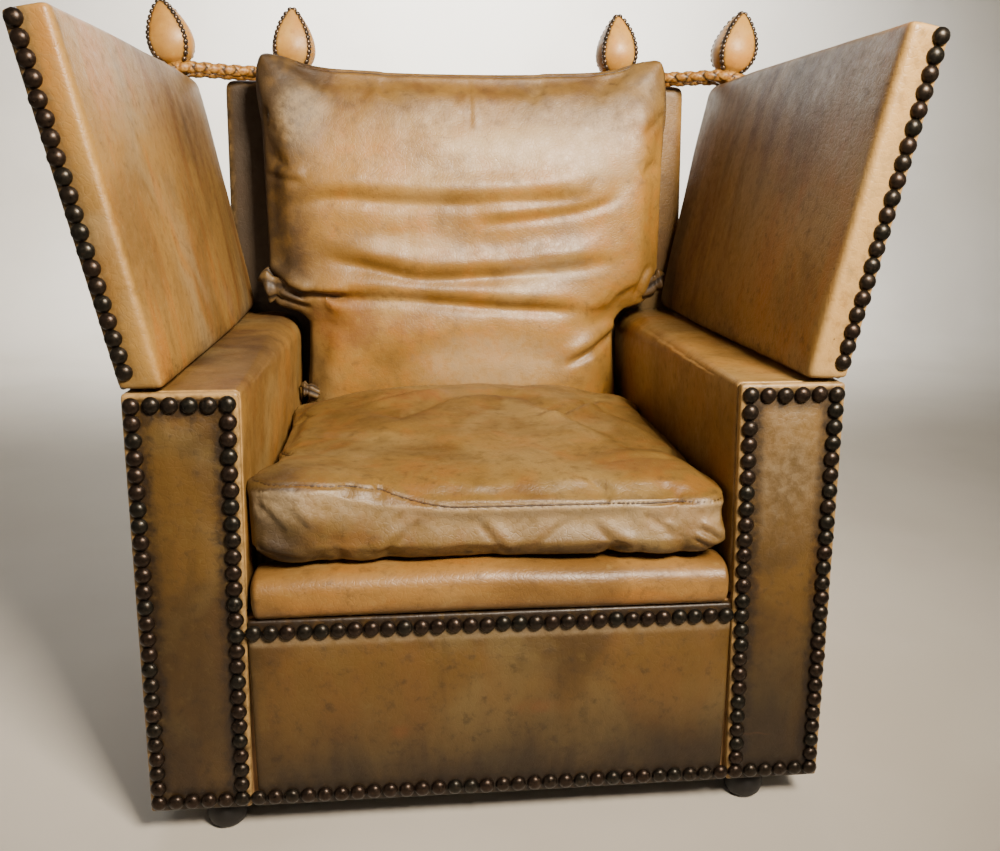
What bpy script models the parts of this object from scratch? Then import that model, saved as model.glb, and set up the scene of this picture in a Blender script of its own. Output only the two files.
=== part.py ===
"""Knole armchair: a deep, square, leather armchair. Its two sides are wings hinged on the arms,
held up by plaited cords looped round finials. Metres, +Z up, the front faces -Y, the feet
stand on Z = 0 and the origin is below the middle of the chair's box."""
import math

import bmesh
import bpy
from mathutils import Matrix, Vector

for old in list(bpy.data.objects):
    bpy.data.objects.remove(old, do_unlink=True)

# Driving dimensions of the body
BACK_TOP_Z = 1.030
ARM_TOP_Z = 0.608
BASE_Z = 0.045
BODY_DEPTH = 0.848
BACK_THICKNESS = 0.110
BACK_HALF_BASE = 0.450
BACK_HALF_TOP = 0.427
ARM_OUTER_BASE = 0.454
ARM_OUTER_TOP = 0.443
ARM_INNER_BASE = 0.323
ARM_INNER_TOP = 0.307

# Clearances
FIT = 0.0003
OVERRUN = 0.030

# Upholstery thicknesses
ARM_PADDING = 0.020
ARM_TOP_PADDING = 0.028
BACK_PADDING = 0.020
FACING_THICKNESS = 0.014
OUTSIDE_BACK_THICKNESS = 0.008
DUST_COVER_THICKNESS = 0.0012
PADDING_CROWN = 0.006
PADDING_BORDER = 0.070
SOFT_EDGE = 0.010
SOFT_EDGE_STEPS = 2
ARM_EDGE_FRONT = 0.008
ARM_EDGE_REAR = 0.045
ARM_EDGE_STEPS = 4
# Faces that meet at less than these angles, in degrees, are shaded smooth
EDGE_ANGLE = 40
CUSHION_ANGLE = 60
STUD_ANGLE = 35

# Wooden frame
RAIL_RECESS = 0.003
RAIL_HEIGHT = 0.100
FRONT_RAIL_THICKNESS = 0.028
ARM_RAIL_HEIGHT = 0.035
POST_WIDTH = 0.055
FRONT_POST_DEPTH = 0.050
BACK_POST_SETBACK = 0.0165
TOP_RAIL_HEIGHT = 0.080

# Seat
INNER_WALL_FOOT_Z = 0.320
ROLL_BOTTOM_Z = 0.313
ROLL_TOP_Z = 0.374
ROLL_DEPTH = 0.085
ROLL_PROUD = 0.010
ROLL_SIDES = 16
ROLL_POWER = 0.6
DECK_THICKNESS = 0.034
CUSHION_BED_Z = 0.384
WEBBING_THICKNESS = 0.002
WEBBING_STRAPS = 4
SPRING_WIRE_RADIUS = 0.0022
SPRING_END_RADIUS = 0.042
SPRING_WAIST_RADIUS = 0.027
SPRING_TURNS = 5
SPRING_POINTS = 8
SPRING_ROWS = 3
SPRING_COLUMNS = 2
SPRING_FLATTEN_SHARE = 0.7

# Studs
STUD_HEIGHT = 0.0075
STUD_RIM = 0.0012
STUD_INSET = 0.0125
STUD_TOP_DROP = 0.014
STUD_BASE_RISE = 0.015
APRON_STUD_Z = 0.297
COLUMN_STUDS = 26
PANEL_STUDS = 6
APRON_STUDS = 30
WING_STUDS = 20
STUD_CROWN_SHARE = 0.24

# Wings
WING_LEAN = math.radians(11.0)
WING_THICKNESS = 0.052
WING_HEIGHT = 0.420
WING_RAKE = 0.014
WING_BED = 0.005
WING_STUD_START = 0.021
WING_STUD_END = 0.012
WING_BOARD_THICKNESS = 0.018
WING_BOARD_MARGIN = 0.035
WING_REAR_GAP = 0.002

# Hinges
KNUCKLE_RADIUS = 0.0045
PIN_RADIUS = 0.0018
PIN_PLAY = 0.0004
LEAF_THICKNESS = 0.0014
LEAF_WIDTH = 0.032
HINGE_SETBACK = 0.035
HINGE_SIDES = 12

# Finials and cords
FINIAL_HEIGHT = 0.131
FINIAL_RADIUS = 0.0445
FINIAL_SIDES = 8
FINIAL_X = 0.305
FINIAL_SETBACK = 0.052
WING_FINIAL_SETBACK = 0.026
CORD_RADIUS = 0.0095
CORD_PLAY = 0.0006
CORD_BEND_POINTS = 12
CORD_QUARTER_SIDES = 2

# Feet
FOOT_RADIUS = 0.027
FOOT_SIDES = 12

# Cushions
SEAT_CUSHION_HALF = 0.311
SEAT_CUSHION_PROUD = 0.009
SEAT_CUSHION_DEPTH = 0.598
SEAT_SEAM_HEIGHT = 0.076
SEAT_CROWN = 0.040
SEAT_CELLS = (12, 12, 2)
SEAT_SWELL_POWER = 0.6
SEAT_DENT_POWER = 8
BACK_CUSHION_TOP_Z = 1.062
BACK_CUSHION_HALF_LOW = 0.298
BACK_CUSHION_HALF_HIGH = 0.362
BACK_CUSHION_THICKNESS = 0.128
BACK_CUSHION_CROWN = 0.030
BACK_CUSHION_DIP = 0.014
BACK_CELLS = (10, 2, 18)
BACK_SWELL_POWER = 0.5
BACK_DIP_POWER = 4
SHOULDER_RISE = 0.045
CREASE_DEPTH = 0.006
CREASE_WIDTH = 0.022
BACK_CUSHION_REST = 0.0015

# Worked-out places
FRONT_PROUD = WING_RAKE + FIT + STUD_HEIGHT
FRONT_Y = (FRONT_PROUD - BODY_DEPTH) / 2
REAR_Y = FRONT_Y + BODY_DEPTH
BACK_FRONT_Y = REAR_Y - BACK_THICKNESS
OUTSIDE_BACK_Y = REAR_Y - OUTSIDE_BACK_THICKNESS
RAIL_BOTTOM_Z = BASE_Z + RAIL_RECESS
SIDES = {"left": -1, "right": 1}

SEAT_CREASE_SHARES = (0.30, 0.62)
BACK_CREASE_SHARES = (0.34, 0.50, 0.70)
CUSHION_CORNER_POWER = 10
SEAT_PULL_SHARE = 0.030
BACK_PULL_SHARE = 0.025
BACK_RIM_SHARES = (0.33, 0.27)

# Height and radius along a finial, as shares of its height and its radius, with its squareness
FINIAL_SHARES = (
    (0.00, 0.46, 1.00),
    (0.17, 0.46, 1.00),
    (0.23, 0.70, 0.96),
    (0.32, 0.91, 0.91),
    (0.43, 1.00, 0.89),
    (0.56, 0.94, 0.88),
    (0.70, 0.73, 0.88),
    (0.83, 0.46, 0.89),
    (0.93, 0.22, 0.92),
    (1.00, 0.05, 1.00),
)
NECK_RADIUS = FINIAL_RADIUS * FINIAL_SHARES[0][1]

# Height and radius along a bun foot, as shares of its height and its radius
FOOT_SHARES = ((0.00, 0.66), (0.30, 1.00), (0.55, 1.00), (0.80, 0.82), (1.00, 0.82))


def srgb(hex_colour):
    """Turns a hex colour into linear values."""
    values = [int(hex_colour[i : i + 2], 16) / 255 for i in (1, 3, 5)]
    return [v / 12.92 if v <= 0.04045 else ((v + 0.055) / 1.055) ** 2.4 for v in values]


def material(name, hex_colour, roughness, metallic=0.0):
    new = bpy.data.materials.new(name)
    new.use_nodes = True
    shader = new.node_tree.nodes["Principled BSDF"]
    shader.inputs["Base Color"].default_value = (*srgb(hex_colour), 1.0)
    shader.inputs["Roughness"].default_value = roughness
    shader.inputs["Metallic"].default_value = metallic
    return new


LEATHER = material("tan_leather", "#8C6A40", 0.45)
CUSHION_LEATHER = material("cushion_leather", "#8A6038", 0.38)
FINIAL_LEATHER = material("finial_leather", "#B08A5A", 0.45)
CORD_LEATHER = material("plaited_leather", "#B77B3C", 0.55)
BRONZE = material("antique_bronze", "#54493C", 0.35, 0.9)
BEECH = material("beech", "#B98F5F", 0.6)
DARK_WOOD = material("dark_wood", "#2A1D14", 0.5)
STEEL = material("hinge_steel", "#8C8C88", 0.35, 1.0)
SPRING_STEEL = material("spring_wire", "#6F6A62", 0.4, 1.0)
JUTE = material("jute_webbing", "#9C8660", 0.9)
TICKING = material("platform_cloth", "#6B5A44", 0.9)
BLACK_CLOTH = material("black_lining", "#1C1B1A", 0.95)


def between(first, last, share):
    return first + (last - first) * share


def arm_share(z):
    return (z - BASE_Z) / (ARM_TOP_Z - BASE_Z)


def arm_outer(z):
    return between(ARM_OUTER_BASE, ARM_OUTER_TOP, arm_share(z))


def arm_inner(z):
    return between(ARM_INNER_BASE, ARM_INNER_TOP, arm_share(z))


def back_half(z):
    return between(BACK_HALF_BASE, BACK_HALF_TOP, (z - BASE_Z) / (BACK_TOP_Z - BASE_Z))


def add_object(name, bm, finish, pivot=None, smooth_angle=None):
    """Makes a named object from a bmesh in the chair's own places, its origin at the pivot."""
    bmesh.ops.recalc_face_normals(bm, faces=bm.faces)
    place = Vector(pivot or (0, 0, 0))
    bmesh.ops.translate(bm, verts=bm.verts, vec=-place)
    mesh = bpy.data.meshes.new(name)
    bm.to_mesh(mesh)
    bm.free()
    mesh.materials.append(finish)
    if smooth_angle:
        mesh.shade_smooth()
        mesh.set_sharp_from_angle(angle=math.radians(smooth_angle))
    new = bpy.data.objects.new(name, mesh)
    new.location = place
    bpy.context.collection.objects.link(new)
    return new


def add_box(bm, low, high):
    """Adds a cube with these lowest and highest corners, in either order along X."""
    low, high = Vector(low), Vector(high)
    size = high - low
    size.x = abs(size.x)
    where = Matrix.Translation((low + high) / 2) @ Matrix.Diagonal((*size, 1))
    return bmesh.ops.create_cube(bm, size=1, matrix=where)["verts"]


def box(name, low, high, finish, pivot=None):
    bm = bmesh.new()
    add_box(bm, low, high)
    return add_object(name, bm, finish, pivot)


def loft(sections):
    """Joins outlines of equally many points, in order, into one closed body."""
    bm = bmesh.new()
    rings = [[bm.verts.new(p) for p in section] for section in sections]
    count = len(rings[0])
    for first, second in zip(rings, rings[1:]):
        for i in range(count):
            j = (i + 1) % count
            bm.faces.new((first[i], first[j], second[j], second[i]))
    bm.faces.new(reversed(rings[0]))
    bm.faces.new(rings[-1])
    return bm


def prism(outline, y_start, y_end):
    """A body with an outline in X and Z, drawn out along Y."""
    return loft([[(x, y, z) for x, z in outline] for y in (y_start, y_end)])


def boolean(piece, other, operation):
    modifier = piece.modifiers.new(operation.lower(), "BOOLEAN")
    modifier.operation = operation
    modifier.solver = "EXACT"
    modifier.object = other
    other.hide_render = True
    other.display_type = "WIRE"


def cutter(name, bm):
    new = add_object(name, bm, BEECH)
    new.hide_render = True
    new.display_type = "WIRE"
    return new


def cylinder(bm, radius, start_y, end_y, x, z, sides):
    """Adds a cylinder along Y."""
    turn = Matrix.Rotation(math.pi / 2, 4, "X")
    where = Matrix.Translation((x, (start_y + end_y) / 2, z)) @ turn
    length = abs(end_y - start_y)
    return bmesh.ops.create_cone(
        bm, cap_ends=True, segments=sides, radius1=radius, radius2=radius,
        depth=length, matrix=where,
    )["verts"]


# Frame
POST_INNER_X = arm_inner(INNER_WALL_FOOT_Z) + ARM_PADDING + FIT
POST_OUTER_X = POST_INNER_X + POST_WIDTH
FRONT_POST_Y = FRONT_Y + FACING_THICKNESS + FIT
FRONT_POST_REAR_Y = FRONT_POST_Y + FRONT_POST_DEPTH
BACK_POST_OUTER_X = min(BACK_HALF_BASE, BACK_HALF_TOP) - BACK_PADDING - BACK_POST_SETBACK
BACK_POST_INNER_X = BACK_POST_OUTER_X - POST_WIDTH
BACK_POST_Y = BACK_FRONT_Y + BACK_PADDING + FIT
BACK_POST_REAR_Y = OUTSIDE_BACK_Y - FIT
ARM_RAIL_TOP_Z = ARM_TOP_Z - ARM_TOP_PADDING - FIT
BACK_POST_TOP_Z = BACK_TOP_Z - BACK_PADDING - FIT
SIDE_RAIL_TOP_Z = RAIL_BOTTOM_Z + RAIL_HEIGHT


def wooden_frame():
    """The posts and rails that everything is tacked to."""
    for side, sign in SIDES.items():
        inner, outer = sign * POST_INNER_X, sign * POST_OUTER_X
        box(
            f"front_post_{side}",
            (inner, FRONT_POST_Y, RAIL_BOTTOM_Z),
            (outer, FRONT_POST_REAR_Y, ARM_RAIL_TOP_Z), BEECH,
        )
        box(
            f"back_post_{side}",
            (sign * BACK_POST_INNER_X, BACK_POST_Y, RAIL_BOTTOM_Z),
            (sign * BACK_POST_OUTER_X, BACK_POST_REAR_Y, BACK_POST_TOP_Z), BEECH,
        )
        rail_start, rail_end = FRONT_POST_REAR_Y + FIT, BACK_POST_Y - FIT
        box(
            f"arm_rail_{side}",
            (inner, rail_start, ARM_RAIL_TOP_Z - ARM_RAIL_HEIGHT),
            (outer, rail_end, ARM_RAIL_TOP_Z), BEECH,
        )
        box(
            f"side_rail_{side}",
            (inner, rail_start, RAIL_BOTTOM_Z),
            (outer, rail_end, SIDE_RAIL_TOP_Z), BEECH,
        )
    half = POST_INNER_X - FIT
    box(
        "front_rail",
        (-half, FRONT_POST_Y, RAIL_BOTTOM_Z),
        (half, FRONT_POST_Y + FRONT_RAIL_THICKNESS, ROLL_BOTTOM_Z - FIT), BEECH,
    )
    half = BACK_POST_INNER_X - FIT
    box(
        "back_rail",
        (-half, BACK_POST_Y, RAIL_BOTTOM_Z),
        (half, BACK_POST_REAR_Y, SIDE_RAIL_TOP_Z), BEECH,
    )
    box(
        "back_top_rail",
        (-half, BACK_POST_Y, BACK_POST_TOP_Z - TOP_RAIL_HEIGHT),
        (half, BACK_POST_REAR_Y, BACK_POST_TOP_Z), BEECH,
    )


def arm_section(sign, edge_radius, y):
    """An arm's outline, its inner top edge rounded."""
    points = [
        (arm_outer(BASE_Z), BASE_Z),
        (ARM_OUTER_TOP, ARM_TOP_Z),
    ]
    for i in range(ARM_EDGE_STEPS + 1):
        turn = math.pi / 2 * i / ARM_EDGE_STEPS
        z = ARM_TOP_Z - edge_radius * (1 - math.cos(turn))
        shift = edge_radius * (1 - math.sin(turn))
        points.append((arm_inner(z) + shift, z))
    points.append((arm_inner(BASE_Z), BASE_Z))
    return [(sign * x, y, z) for x, z in points]


def arm_hollow(sign, y_start, y_end):
    """The space inside an arm's cover, which runs on under the seat past the middle."""
    roof = ARM_TOP_Z - ARM_TOP_PADDING
    floor = BASE_Z - OVERRUN
    outline = [
        (arm_inner(INNER_WALL_FOOT_Z) + ARM_PADDING, INNER_WALL_FOOT_Z),
        (arm_inner(roof) + ARM_PADDING, roof),
        (arm_outer(roof) - ARM_PADDING, roof),
        (arm_outer(floor) - ARM_PADDING, floor),
        (-OVERRUN, floor),
        (-OVERRUN, INNER_WALL_FOOT_Z),
    ]
    return prism([(sign * x, z) for x, z in outline], y_start, y_end)


def arms():
    """Each arm's padded cover, and the studded facing board on its front."""
    cover_front = FRONT_Y + FACING_THICKNESS + FIT
    cover_rear = BACK_FRONT_Y - FIT
    for side, sign in SIDES.items():
        bm = loft([
            arm_section(sign, ARM_EDGE_FRONT, cover_front),
            arm_section(sign, ARM_EDGE_REAR, cover_rear),
        ])
        cover = add_object(f"arm_cover_{side}", bm, LEATHER, smooth_angle=EDGE_ANGLE)
        hollow = arm_hollow(sign, cover_front - OVERRUN, BACK_POST_Y + FIT)
        hollow_cutter = cutter(f"arm_hollow_{side}", hollow)
        boolean(cover, hollow_cutter, "DIFFERENCE")
        bm = loft([
            arm_section(sign, ARM_EDGE_FRONT, FRONT_Y),
            arm_section(sign, ARM_EDGE_FRONT, FRONT_Y + FACING_THICKNESS),
        ])
        add_object(f"arm_facing_{side}", bm, LEATHER)


def back_outline(inset, top, bottom):
    return [
        (-back_half(bottom) + inset, bottom),
        (back_half(bottom) - inset, bottom),
        (back_half(top) - inset, top),
        (-back_half(top) + inset, top),
    ]


def crown_face(bm, normal, border, height):
    """Raises the middle of the face that looks along the normal, as padding does."""
    face = max(bm.faces, key=lambda f: f.normal.dot(normal) * f.calc_area())
    bmesh.ops.inset_region(bm, faces=[face], thickness=border, use_even_offset=True)
    bmesh.ops.translate(bm, verts=face.verts, vec=Vector(normal) * height)


def back():
    """The padded inside back, with its top and sides, and the flat outside back."""
    bm = prism(back_outline(0, BACK_TOP_Z, BASE_Z), BACK_FRONT_Y, OUTSIDE_BACK_Y - FIT)
    bmesh.ops.recalc_face_normals(bm, faces=bm.faces)
    soft = [
        e for e in bm.edges
        if all(v.co.z > ARM_TOP_Z for v in e.verts)
        and not all(v.co.y > BACK_FRONT_Y + FIT for v in e.verts)
    ]
    bmesh.ops.bevel(
        bm, geom=soft, offset=SOFT_EDGE, segments=SOFT_EDGE_STEPS, affect="EDGES",
        material=-1,
    )
    cover = add_object("back_cover", bm, LEATHER, smooth_angle=EDGE_ANGLE)
    roof = BACK_TOP_Z - BACK_PADDING
    hollow = prism(
        back_outline(BACK_PADDING, roof, BASE_Z - OVERRUN),
        BACK_FRONT_Y + BACK_PADDING, REAR_Y + OVERRUN,
    )
    boolean(cover, cutter("back_hollow", hollow), "DIFFERENCE")
    for side in SIDES:
        boolean(cover, bpy.data.objects[f"arm_hollow_{side}"], "DIFFERENCE")
    bm = prism(back_outline(0, BACK_TOP_Z, BASE_Z), OUTSIDE_BACK_Y, REAR_Y)
    add_object("outside_back", bm, LEATHER)


def seat_roll():
    """The stuffed roll along the front rail, a flattened round in section."""
    half = arm_inner(ROLL_TOP_Z) - FIT
    middle_y = FRONT_Y - ROLL_PROUD + ROLL_DEPTH / 2
    middle_z = (ROLL_BOTTOM_Z + ROLL_TOP_Z) / 2
    rise = (ROLL_TOP_Z - ROLL_BOTTOM_Z) / 2
    sections = []
    for x in (-half, half):
        ring = []
        for i in range(ROLL_SIDES):
            turn = 2 * math.pi * i / ROLL_SIDES
            c, s = math.cos(turn), math.sin(turn)
            y = middle_y + math.copysign(abs(c) ** ROLL_POWER, c) * ROLL_DEPTH / 2
            z = middle_z + math.copysign(abs(s) ** ROLL_POWER, s) * rise
            ring.append((x, y, z))
        sections.append(ring)
    add_object("seat_roll", loft(sections), LEATHER, smooth_angle=CUSHION_ANGLE)


def seat_support():
    """The webbing, springs and padded platform that carry the cushions."""
    deck_half = arm_inner(CUSHION_BED_Z) - FIT
    deck_top = CUSHION_BED_Z - FIT
    deck_front = FRONT_Y - ROLL_PROUD + ROLL_DEPTH + FIT
    deck_bottom = deck_top - DECK_THICKNESS
    box(
        "seat_platform",
        (-deck_half, deck_front, deck_bottom),
        (deck_half, BACK_FRONT_Y - FIT, deck_top), TICKING,
    )
    box(
        "apron_panel",
        (-arm_inner(ROLL_BOTTOM_Z) + FIT, FRONT_Y, BASE_Z),
        (arm_inner(ROLL_BOTTOM_Z) - FIT, FRONT_Y + FACING_THICKNESS, ROLL_BOTTOM_Z - FIT),
        LEATHER,
    )
    webbing_z = SIDE_RAIL_TOP_Z + FIT
    web_front = FRONT_POST_REAR_Y + FIT
    web_rear = BACK_POST_Y - FIT
    cells = 2 * WEBBING_STRAPS + 1
    bm = bmesh.new()
    bmesh.ops.create_grid(bm, x_segments=cells, y_segments=cells, size=1)
    cell = 2 / cells
    holes = [
        f for f in bm.faces
        if round((f.calc_center_median().x + 1) / cell - 0.5) % 2
        and round((f.calc_center_median().y + 1) / cell - 0.5) % 2
    ]
    bmesh.ops.delete(bm, geom=holes, context="FACES")
    web_half = POST_OUTER_X
    bmesh.ops.scale(bm, verts=bm.verts, vec=(web_half, (web_rear - web_front) / 2, 1))
    middle = (0, (web_front + web_rear) / 2, webbing_z)
    bmesh.ops.translate(bm, verts=bm.verts, vec=middle)
    extruded = bmesh.ops.extrude_face_region(bm, geom=bm.faces[:])["geom"]
    top = [v for v in extruded if isinstance(v, bmesh.types.BMVert)]
    bmesh.ops.translate(bm, verts=top, vec=(0, 0, WEBBING_THICKNESS))
    add_object("seat_webbing", bm, JUTE)
    spring_foot = webbing_z + WEBBING_THICKNESS + FIT + SPRING_WIRE_RADIUS
    spring_head = deck_bottom - FIT - SPRING_WIRE_RADIUS
    strap_pitch_x = 2 * web_half / cells * 2
    strap_pitch_y = (web_rear - web_front) / cells * 2
    for row in range(SPRING_ROWS):
        for column in range(SPRING_COLUMNS):
            x = (2 * column + 1 - SPRING_COLUMNS) * strap_pitch_x
            y = middle[1] + (row - (SPRING_ROWS - 1) / 2) * strap_pitch_y
            number = row * SPRING_COLUMNS + column + 1
            spring(f"spring_{number}", x, y, spring_foot, spring_head)


def spring(name, x, y, foot_z, head_z):
    """A waisted coil spring with flat end turns."""
    curve = bpy.data.curves.new(name, "CURVE")
    curve.dimensions = "3D"
    curve.bevel_depth = SPRING_WIRE_RADIUS
    curve.bevel_resolution = 0
    curve.use_fill_caps = True
    line = curve.splines.new("POLY")
    steps = SPRING_TURNS * SPRING_POINTS
    line.points.add(steps)
    for i, point in enumerate(line.points):
        share = i / steps
        turn = 2 * math.pi * SPRING_TURNS * share
        radius = between(SPRING_WAIST_RADIUS, SPRING_END_RADIUS, (2 * share - 1) ** 2)
        rise = share - math.sin(2 * math.pi * share) / (2 * math.pi)
        height = between(share, rise, SPRING_FLATTEN_SHARE)
        z = between(foot_z, head_z, height)
        point.co = (radius * math.cos(turn), radius * math.sin(turn), z, 1)
    curve.materials.append(SPRING_STEEL)
    new = bpy.data.objects.new(name, curve)
    new.location = (x, y, 0)
    bpy.context.collection.objects.link(new)


FOOT_PLACES = {
    "front": (POST_INNER_X + POST_WIDTH / 2, FRONT_POST_Y + FRONT_POST_DEPTH / 2),
    "back": (BACK_POST_INNER_X + POST_WIDTH / 2, (BACK_POST_Y + BACK_POST_REAR_Y) / 2),
}


def dust_cover():
    """The black lining tacked under the rails, cut out round the feet."""
    half = min(ARM_OUTER_BASE - ARM_PADDING, BACK_HALF_BASE - BACK_PADDING) - FIT
    bottom = RAIL_BOTTOM_Z - FIT - DUST_COVER_THICKNESS
    cover = box(
        "dust_cover",
        (-half, FRONT_POST_Y, bottom),
        (half, BACK_POST_REAR_Y, bottom + DUST_COVER_THICKNESS), BLACK_CLOTH,
    )
    for end, (x, y) in FOOT_PLACES.items():
        for side, sign in SIDES.items():
            bm = bmesh.new()
            bmesh.ops.create_cone(
                bm, cap_ends=True, segments=FOOT_SIDES, radius1=FOOT_RADIUS + FIT,
                radius2=FOOT_RADIUS + FIT, depth=OVERRUN,
                matrix=Matrix.Translation((sign * x, y, bottom)),
            )
            boolean(cover, cutter(f"foot_hole_{end}_{side}", bm), "DIFFERENCE")


def feet():
    """Four low turned bun feet under the posts."""
    top = RAIL_BOTTOM_Z - FIT
    for end, (x, y) in FOOT_PLACES.items():
        for side, sign in SIDES.items():
            sections = []
            for height, width in FOOT_SHARES:
                radius = FOOT_RADIUS * width
                ring = []
                for i in range(FOOT_SIDES):
                    turn = 2 * math.pi * i / FOOT_SIDES
                    ring.append((
                        sign * x + radius * math.cos(turn), y + radius * math.sin(turn),
                        top * height,
                    ))
                sections.append(ring)
            foot = f"foot_{end}_{side}"
            add_object(foot, loft(sections), DARK_WOOD, smooth_angle=EDGE_ANGLE)


# Studs
OCTAGON_EDGE = math.tan(math.pi / 8) / 2
OCTAGON = (
    (0.5, -OCTAGON_EDGE), (0.5, OCTAGON_EDGE), (OCTAGON_EDGE, 0.5), (-OCTAGON_EDGE, 0.5),
    (-0.5, OCTAGON_EDGE), (-0.5, -OCTAGON_EDGE), (-OCTAGON_EDGE, -0.5), (OCTAGON_EDGE, -0.5),
)
NEIGHBOURS = {0: (1, 0), 2: (0, 1), 4: (-1, 0), 6: (0, -1)}


def stud_band(name, cells, place, pivot=None):
    """Domed studs set edge to edge. A cell is a stud's column and row, and place gives the
    point on the leather for any column and row, so studs that touch share an edge."""
    bm = bmesh.new()
    cells = set(cells)

    def vertex(column, row, height):
        x, y, z = place(column, row)
        return bm.verts.new((x, y - height, z))

    for column, row in sorted(cells):
        base, rim = [], []
        for a, b in OCTAGON:
            base.append(vertex(column + a, row + b, FIT))
            rim.append(vertex(column + a, row + b, FIT + STUD_RIM))
        crown = [
            vertex(column + a * STUD_CROWN_SHARE, row + b * STUD_CROWN_SHARE, FIT + STUD_HEIGHT)
            for a, b in ((1, 1), (-1, 1), (-1, -1), (1, -1))
        ]
        bm.faces.new(base)
        bm.faces.new(crown)
        for i in range(8):
            j = (i + 1) % 8
            step = NEIGHBOURS.get(i)
            if not (step and (column + step[0], row + step[1]) in cells):
                bm.faces.new((base[i], base[j], rim[j], rim[i]))
            after = crown[i // 2]
            if i % 2:
                bm.faces.new((rim[i], rim[j], after))
            else:
                bm.faces.new((rim[i], rim[j], after, crown[i // 2 - 1]))
    bmesh.ops.remove_doubles(bm, verts=bm.verts, dist=FIT / 10)
    return add_object(name, bm, BRONZE, pivot, smooth_angle=STUD_ANGLE)


STUD_TOP_Z = ARM_TOP_Z - STUD_TOP_DROP
STUD_BASE_Z = BASE_Z + STUD_BASE_RISE


def column_x(z, share):
    """Where a stud column lies: share 0 is the inner column and 1 the outer one."""
    return between(arm_inner(z) + STUD_INSET, arm_outer(z) - STUD_INSET, share)


def cross_row(name, z):
    """A straight row between the two arms' inner columns."""
    column_gap = column_x(z, 1) - column_x(z, 0)
    half = column_x(z, 0) - column_gap / (PANEL_STUDS - 1) / 2 - FIT
    pitch = 2 * half / APRON_STUDS

    def place(column, row):
        return ((column + 0.5) * pitch - half, FRONT_Y, z + row * pitch)

    stud_band(name, [(i, 0) for i in range(APRON_STUDS)], place)


def body_studs():
    last_row, last_column = COLUMN_STUDS - 1, PANEL_STUDS - 1
    for side, sign in SIDES.items():
        def place(column, row, sign=sign):
            z = between(STUD_BASE_Z, STUD_TOP_Z, row / last_row)
            return (sign * column_x(z, column / last_column), FRONT_Y, z)

        cells = [
            (column, row)
            for column in range(PANEL_STUDS) for row in range(COLUMN_STUDS)
            if column in (0, last_column) or row in (0, last_row)
        ]
        stud_band(f"arm_studs_{side}", cells, place)
    cross_row("apron_studs", APRON_STUD_Z)
    cross_row("base_studs", STUD_BASE_Z)


# Wings, laid out from the hinge axis: across is inwards from the outer face, up is along the lean
HINGE_X = ARM_OUTER_TOP + KNUCKLE_RADIUS + FIT
HINGE_Z = ARM_TOP_Z + WING_BED / 2
WING_OUTER = KNUCKLE_RADIUS + FIT
WING_REAR_Y = BACK_FRONT_Y - WING_REAR_GAP


def wing_point(sign, across, up, y):
    x = HINGE_X + up * math.sin(WING_LEAN) - across * math.cos(WING_LEAN)
    z = HINGE_Z + up * math.cos(WING_LEAN) + across * math.sin(WING_LEAN)
    return (sign * x, y, z)


def wing_foot(across, height):
    """How far up the lean a level line at this height above the hinge lies."""
    return (height - across * math.sin(WING_LEAN)) / math.cos(WING_LEAN)


def wing_block(sign, across, top, foot_height, y_front, y_rear):
    """A slab of the wing: level at its foot and square to the lean at its top."""
    near, far = across
    corners = [
        (near, wing_foot(near, foot_height)),
        (near, top),
        (far, top),
        (far, wing_foot(far, foot_height)),
    ]
    sections = [
        [wing_point(sign, a, u, y_front(u)) for a, u in corners],
        [wing_point(sign, a, u, y_rear) for a, u in corners],
    ]
    return loft(sections)


def wing_front(up):
    return FRONT_Y - WING_RAKE * up / WING_HEIGHT


def wing_pivot(sign):
    return (sign * HINGE_X, 0, HINGE_Z)


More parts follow.
